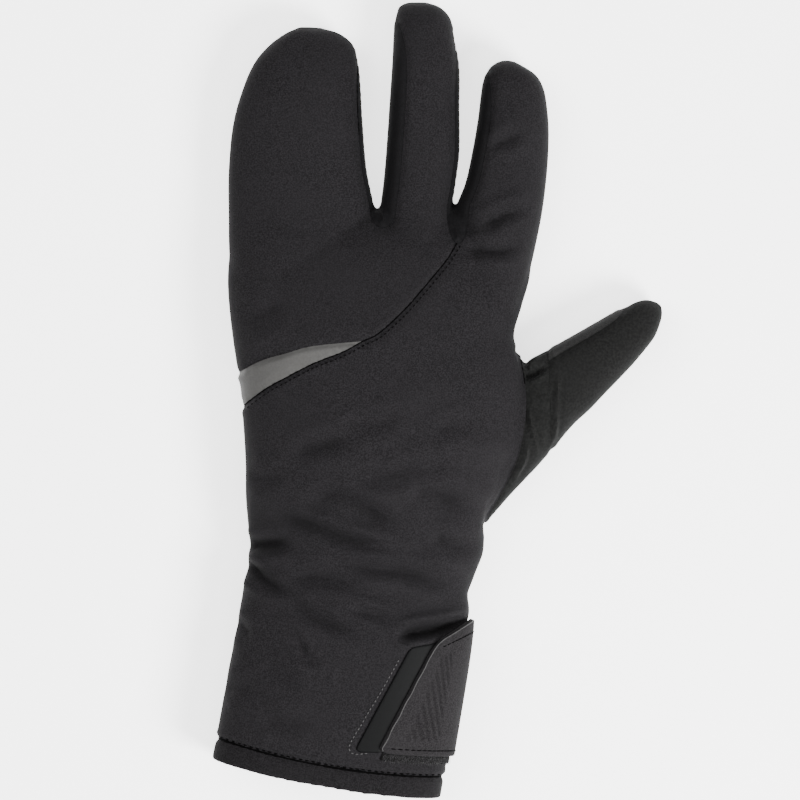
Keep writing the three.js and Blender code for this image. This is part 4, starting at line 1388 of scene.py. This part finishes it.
seam_run = np.vstack([main_seam[:-1], wedge_bottom[wedge_bottom[:, 0] > WEDGE_END]])
tip_run = ring_middle_strip[:TIP_POINTS]
web_run = thumb_edge[thumb_edge[:, 1] > WEB_FOOT]
tape_line = through([(12.7, -97.7), (5.3, -110.8), (1, -117.8), (-2.1, -123.1), (-4.6, -127.2),
                     (-6.1, -130.2), (-5.9, -132.6), (-3.9, -133.6), (0.5, -133.3)])
threads = {
    "topstitch": (sewn("topstitch", aside(seam_run, 1.6), 1.9, 1.1, 0.2), "dark"),
    "hem_stitch": (sewn("hem_stitch", aside(hem_seam, 0.9), 2.4, 1.5, 0.26), "dark"),
    # cords in the grooves: near-black lines of painted shade that also close the cut seams
    "seam_shade_cord": (shade_cord_in("seam_shade_cord", seam_run, 0.24), "dark"),
    "thumb_shade_cord": (shade_cord_in("thumb_shade_cord", web_run, 0.24), "dark"),
    "strip_shade_cord": (shade_cord_in("strip_shade_cord", tip_run, 0.22), "dark"),
    "hem_shade_cord": (shade_cord_in("hem_shade_cord", hem_seam, 0.38), "dark"),
    "tape_stitch": (sewn("tape_stitch", tape_line, 1.75, 1.0, 0.24), "light"),
}
print(list(threads))

# %% The turned-in edges inside the hem's seam
def hem_ring(count):
    """The turned-in edges that fill the hem's seam: a loop round the cuff's section, mid-wall."""
    angle = np.linspace(0, 2 * np.pi, count)
    share = np.full(count, CUFF_LENGTH / CUFF_REACH)
    sizes = section_sizes(CUFF, share, CUFF_REACH, CUFF_WIDTH, CUFF_THICKNESS)
    side, up = section(shrink(sizes, WALL / 2), angle)
    x, y = body_plan(side, -sizes["along"] - bow(side, -sizes["along"]))
    outwards = np.stack([np.cos(angle), 0 * angle, np.sin(angle)], -1)
    return np.stack([x, y, up], -1), outwards


threads["hem_turning"] = (cord_tube("hem_turning", *hem_ring(260), 0.7), "dark")
print("hem turning", len(threads["hem_turning"][0].data.polygons), "faces")


# %% Sew the strap
def along_patch(place, u, v, height):
    """Points on a patch along a line of u and v, and the patch's normals there."""
    u, v = np.broadcast_arrays(np.asarray(u, float), np.asarray(v, float))
    points = place(u, v, height)
    step = 1e-3
    normals = unit(np.cross(place(u, v + step, height) - points, place(u + step, v, height) - points))
    return points, np.where(normals[:, 2:] < 0, -normals, normals)


strap_top = strap_low + STRAP_THICK


def edge_path(place, corner, toe, inset):
    """u and v along a patch's left and top edges, round its two left corners."""
    across, down = patch_size(place)
    up, over_top = np.linspace(down - inset, inset, 150), np.linspace(inset, 0.97 * across, 90)
    x, y = np.r_[np.full(150, inset), over_top], np.r_[up, np.full(90, inset)]
    x = x + 0.1 * np.sin(y / 1.7) * (x <= inset)
    x, y = round_corner(x, y, corner)
    x, foot = round_corner(x, down - y, toe)
    return x / across, 1 - foot / down


strap_rim = edge_path(strap_place, STRAP_CORNER, STRAP_TOE_CORNER, 0.45)
rim_points = along_patch(strap_place, *strap_rim, strap_top - 0.12)
threads["strap_edge"] = (cord_tube("strap_edge", *rim_points, 0.2), "light")
for name, start, end, count, down, length, radius in (
        ("strap_stitch", 0.14, 0.94, 15, 0.085, 1.6, 0.2),
        ("foot_stitch", 0.08, 0.96, 20, 0.955, 1.9, 0.22)):
    row = along_patch(strap_place, np.linspace(start, end, count), down, strap_top)
    threads[name] = (stitches(name, *row, length, radius, sink=0.6), "dark")
print({name: len(piece.data.polygons) for name, (piece, _) in threads.items()})

# %% [markdown]
# ## Fuzz on the loop patch
#
# Loop pile frays into short curly fibres, which show as a speckled edge below
# the strap. Hair would be an export problem, so each tuft is a thin bent cone
# with a few faces.

# %% Tufts
def tufts(name, roots, headings, normals, length, radius, seed):
    """
    A bent three-sided cone at each root: its middle line leans from the normal to
    the heading with the square of the way gone, and it thins out evenly.
    """
    draw = np.random.default_rng(seed)
    count = len(roots)
    reach = length * draw.uniform(0.6, 1.2, (count, 1, 1))
    twist = draw.normal(0, 0.5, (count, 3))
    heading = unit(headings + twist)
    t = np.linspace(0, 1, 4)[None, :, None]
    middle = roots[:, None, :] + reach * (t * (1 - 0.5 * t) * 0.7 * normals[:, None, :]
                                          + t**2 * 0.8 * heading[:, None, :])
    side = unit(np.cross(normals, heading))
    across = unit(np.cross(side, normals))
    angle = np.linspace(0, 2 * np.pi, 3, endpoint=False)
    ring = np.cos(angle)[:, None] * side[:, None, :] + np.sin(angle)[:, None] * across[:, None, :]
    thin = radius * (1 - 0.8 * t[..., None])
    net = middle[:, :, None, :] + thin * ring[:, None, :, :]
    faces = [face for n in range(count) for face in tube_faces(4, 3, n * 12)]
    made = new_object(name, net, faces)
    outward(made)
    return made


TUFT_COUNT, FUZZY_SHARE = 900, 0.062
draw = np.random.default_rng(11)
u = draw.uniform(0.01, 0.99, TUFT_COUNT)
v = 1 - FUZZY_SHARE * draw.uniform(0.05, 1, TUFT_COUNT)
roots, pile_normals = along_patch(loop_place, u, v, tape_low + 0.8 * TAPE_THICK)
downwards = unit(loop_place(u, v + 0.01, 0.6) - loop_place(u, v, 0.6))
fuzz = tufts("loop_fuzz", roots, downwards, pile_normals, 1.3, 0.09, 12)
print("fuzz", len(fuzz.data.polygons), "faces")

# %% [markdown]
# ## Materials
#
# Everything is black, so what tells the cloths apart is how they take the light:
# softshell has a tight fine grain and a little sheen, suede a short matt nap,
# coated tape a low gloss. Each finish is built from noise at the sizes that the
# real cloth shows, read from Object coordinates so that it stays on the cloth.

# %% Material helpers
def shader_of(material, roughness, sheen=0.0, specular=0.15):
    """Gives a material one Principled shader and returns its node tree and shader."""
    material.use_nodes = True
    tree = material.node_tree
    shader = tree.nodes["Principled BSDF"]
    shader.inputs["Roughness"].default_value = roughness
    shader.inputs["Sheen Weight"].default_value = sheen
    shader.inputs["Specular IOR Level"].default_value = specular
    return tree, shader


def node(tree, kind, inputs=None, **settings):
    """Adds a node, with its settings and its inputs' values or links."""
    made = tree.nodes.new(kind)
    for name, value in settings.items():
        setattr(made, name, value)
    for name, value in (inputs or {}).items():
        if isinstance(value, bpy.types.NodeSocket):
            tree.links.new(value, made.inputs[name])
        else:
            made.inputs[name].default_value = value
    return made


def noise(tree, size, detail=2.0, roughness=0.6):
    """Noise whose blobs are about that many millimetres across, from 0 to 1."""
    place = node(tree, "ShaderNodeTexCoord").outputs["Object"]
    return node(tree, "ShaderNodeTexNoise", {
        "Vector": place, "Scale": 1000 / size, "Detail": detail, "Roughness": roughness,
    }).outputs["Fac"]


def spread(tree, value, low, high, to_low=0.0, to_high=1.0):
    """Stretches a part of a value's range."""
    return node(tree, "ShaderNodeMapRange", {
        "Value": value, "From Min": low, "From Max": high, "To Min": to_low, "To Max": to_high,
    }).outputs["Result"]


def blend_colours(tree, factor, first, second):
    """One colour where the factor is 0 and another where it is 1."""
    mix = node(tree, "ShaderNodeMix", data_type="RGBA")
    tree.links.new(factor, mix.inputs[0])
    for socket, value in ((mix.inputs[6], first), (mix.inputs[7], second)):
        if isinstance(value, bpy.types.NodeSocket):
            tree.links.new(value, socket)
        else:
            socket.default_value = (*value, 1)
    return mix.outputs[2]


def scaled(colour, by):
    """A colour made lighter or darker."""
    return tuple(part * by for part in colour)


# %% One cloth's finish
def cloth_finish(material, colour, grain, grain_depth, mottle, contrast, roughness, sheen,
                 patch=28.0, specular=0.08, painted_shade=0.0):
    """
    A cloth's finish: a fine grain as bump, mottling a few grains wide as colour,
    and broad faint patches where the nap lies another way. The last keyword is
    painted shade: how much darker the cloth gets where the depth attribute is one,
    deep in folds, seams and grooves.
    """
    tree, shader = shader_of(material, roughness, sheen, specular=specular)
    fine = noise(tree, grain, detail=3, roughness=0.7)
    middle = noise(tree, mottle, detail=2)
    broad = noise(tree, patch, detail=2)
    speck = blend_colours(tree, spread(tree, middle, 0.38, 0.62),
                          scaled(colour, 1 - contrast), scaled(colour, 1 + contrast))
    worn = blend_colours(tree, spread(tree, broad, 0.3, 0.7, 0.0, 0.5), speck, scaled(colour, 1.12))
    # Painted shade: the base colour is mixed towards black where the depth attribute says the cloth
    # lies deep in folds, seams and grooves.
    depth_and_shade = node(tree, "ShaderNodeAttribute", attribute_name="depth_and_shade").outputs["Fac"]
    shaded_colour = blend_colours(tree, spread(tree, depth_and_shade, 0.0, 1.0, 0.0, painted_shade), worn, (0.0, 0.0, 0.0))
    tree.links.new(shaded_colour, shader.inputs["Base Color"])
    grainy = node(tree, "ShaderNodeBump", {"Height": fine, "Strength": 1.0,
                                           "Distance": grain_depth * MM})
    soft = node(tree, "ShaderNodeBump", {"Height": middle, "Strength": 1.0,
                                         "Distance": 0.6 * grain_depth * MM,
                                         "Normal": grainy.outputs["Normal"]})
    tree.links.new(soft.outputs["Normal"], shader.inputs["Normal"])


# %% The finishes
FINISHES = {
    # colour, grain and its depth, mottle and its contrast, roughness, sheen
    "softshell": ((0.0069, 0.0064, 0.0071), 0.4, 0.10, 0.5, 0.65, 0.85, 0.006),
    # strip cloth: its own darker tone, made darker still as painted shade on the fingers' sides
    "strip cloth": ((0.0032, 0.0030, 0.0034), 0.4, 0.06, 0.5, 0.4, 0.8, 0.005),
    # thumb strip cloth: its own lighter tone, made lighter still as painted light along the thumb's
    # upper edge
    "thumb strip cloth": ((0.0155, 0.0154, 0.0153), 0.4, 0.06, 0.5, 0.4, 0.8, 0.01),
    "suede": ((0.0057, 0.0058, 0.0056), 0.5, 0.12, 0.9, 0.4, 0.95, 0.015),
    "reflective": ((0.045, 0.0442, 0.0428), 0.3, 0.03, 0.8, 0.06, 0.5, 0.0),
    "hem cloth": ((0.0056, 0.0052, 0.0057), 0.4, 0.1, 0.5, 0.7, 0.9, 0.006),
    "strap cloth": ((0.0114, 0.0107, 0.0113), 0.4, 0.06, 0.5, 0.5, 0.85, 0.01),
    "tape": ((0.0026, 0.0027, 0.0028), 0.3, 0.01, 2.0, 0.06, 0.5, 0.0),
    # loop pile: its own dark tone, made darker as painted shadow under the strap
    "loop pile": ((0.0055, 0.0053, 0.0055), 0.5, 0.2, 0.9, 0.95, 0.95, 0.01),
    "pile tips": ((0.028, 0.0275, 0.028), 0.3, 0.05, 0.6, 0.9, 0.9, 0.02),
    # dark thread: black thread, made darker than the black cloth as painted shade in stitch holes and
    # seam grooves
    "dark thread": ((0.0008, 0.0008, 0.0008), 0.2, 0.04, 0.5, 0.2, 0.8, 0.0),
    "light thread": ((0.04, 0.0394, 0.0394), 0.2, 0.04, 0.5, 0.2, 0.6, 0.0),
}
FINISH_EXTRAS = {
    # how much painted shade in folds and grooves, how much it shines, how broad its patches are
    "softshell": {"painted_shade": 0.55},
    "strip cloth": {"painted_shade": 0.5},
    "suede": {"painted_shade": 0.5, "patch": 16},
    "hem cloth": {"painted_shade": 0.5},
    "strap cloth": {"painted_shade": 0.22, "specular": 0.04},
    "tape": {"specular": 0.05},
    "dark thread": {"specular": 0.02},
}
finishes = {name: bpy.data.materials.new(name) for name in FINISHES}
for name, numbers in FINISHES.items():
    cloth_finish(finishes[name], *numbers, **FINISH_EXTRAS.get(name, {}))
cloth_finish(lining_cloth, (0.008, 0.008, 0.0085), 0.6, 0.15, 1.5, 0.25, 0.95, 0.05)
bpy.data.materials.remove(outside_cloth)
FINISH_OF_SLOT = {
    "softshell": "softshell", "strip_cloth": "strip cloth", "suede": "suede",
    "reflective": "reflective", "hem_cloth": "hem cloth", "strap_cloth": "strap cloth",
    "smooth_tape": "tape", "loop_pile": "loop pile",
}
print(len(finishes) + 1, "finishes")

# %% [markdown]
# ## Dress the frame
#
# Each panel and layer takes the place of its imported node, which is hidden, moves
# with the root body and gets the finish of its node's material slot, the thumb's
# strip a lighter one. Threads and fuzz get a finish and move with the root body too.

# %% Ride, replace, fill the slots
for name, part in panels.items():
    slot_name, fill = PANELS[name]
    # the thumb's strip gets its own lighter finish, partly painted light
    finish = "thumb strip cloth" if name == "thumb_fourchette" else FINISH_OF_SLOT[slot_name]
    part.data.materials[0] = finishes[finish]
    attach(part, "root")
    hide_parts(name)

LAYERS = {"cuff_strap": (strap, "strap_cloth"), "strap_underlay": (tape, "smooth_tape"),
          "loop_patch": (loop, "loop_pile")}
for name, (piece, slot_name) in LAYERS.items():
    in_slot(piece, finishes[FINISH_OF_SLOT[slot_name]])
    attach(piece, "root")
    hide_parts(name)

for name, (piece, shade) in threads.items():
    in_slot(piece, finishes[f"{shade} thread"])
    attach(piece, "root")
    if name.startswith("hem"):
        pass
    elif name in ("strap_edge", "strap_stitch", "foot_stitch"):
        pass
    else:
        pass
in_slot(fuzz, finishes["pile tips"])
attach(fuzz, "root")
print(len(panels) + len(LAYERS) + len(threads) + 1, "pieces")

# %% [markdown]
# ## Floor, light and camera
#
# The mitt lies on white paper under soft boxes. The paper glows a little, as an
# overexposed one seems to, so it stays pale and shadows are faint. The camera
# looks straight down through a long lens from over two metres, which keeps the
# thick cuff and the thin fingertips to one scale.

# %% The paper floor
FLOOR_HALF, FLOOR_HEIGHT = 3000, -0.4
corners = [(-1, -1), (1, -1), (1, 1), (-1, 1)]
floor = new_object("floor", [(x * FLOOR_HALF, y * FLOOR_HALF, FLOOR_HEIGHT) for x, y in corners],
                   [(0, 1, 2, 3)], smooth=False)
paper = bpy.data.materials.new("paper")
paper_shader = shader_of(paper, 0.9)[1]
paper_shader.inputs["Base Color"].default_value = (0.93, 0.93, 0.93, 1)
paper_shader.inputs["Emission Color"].default_value = (1, 1, 1, 1)
paper_shader.inputs["Emission Strength"].default_value = 2.0
in_slot(floor, paper)
print("floor", 2 * FLOOR_HALF * MM, "m wide")


# %% Lights
def soft_box(name, place, size, power):
    """A square area light at a place in metres, facing the mitt."""
    light = bpy.data.lights.new(name, "AREA")
    light.size, light.energy = size, power
    made = bpy.data.objects.new(name, light)
    made.location = place
    made.rotation_euler = Vector(place).to_track_quat("Z", "Y").to_euler()
    bpy.context.scene.collection.objects.link(made)


soft_box("key", (0.8, -0.6, 0.9), 0.5, 54)
soft_box("fill", (-1.2, 0.6, 1.8), 1.6, 60)
soft_box("top", (0.2, 0.1, 2.8), 2.0, 50)
world = bpy.data.worlds.new("studio")
world.use_nodes = True
world.node_tree.nodes["Background"].inputs["Color"].default_value = (1, 1, 1, 1)
world.node_tree.nodes["Background"].inputs["Strength"].default_value = 0.3
bpy.context.scene.world = world

print(len(bpy.data.lights), "lights")

# %% Camera
PICTURE, PIXEL, MIDDLE_COLUMN = 800, 0.38, 366
VIEW_HEIGHT, MIDDLE_HEIGHT = 2400.0, 15.0
lens = bpy.data.cameras.new("camera")
lens.lens = lens.sensor_width * (VIEW_HEIGHT - MIDDLE_HEIGHT) / (PICTURE * PIXEL)
lens.clip_end = 20
camera = bpy.data.objects.new("camera", lens)
camera.location = ((PICTURE / 2 - MIDDLE_COLUMN) * PIXEL * MM, 0, VIEW_HEIGHT * MM)
bpy.context.scene.collection.objects.link(camera)
bpy.context.scene.camera = camera
print("camera lens", round(lens.lens), "mm")
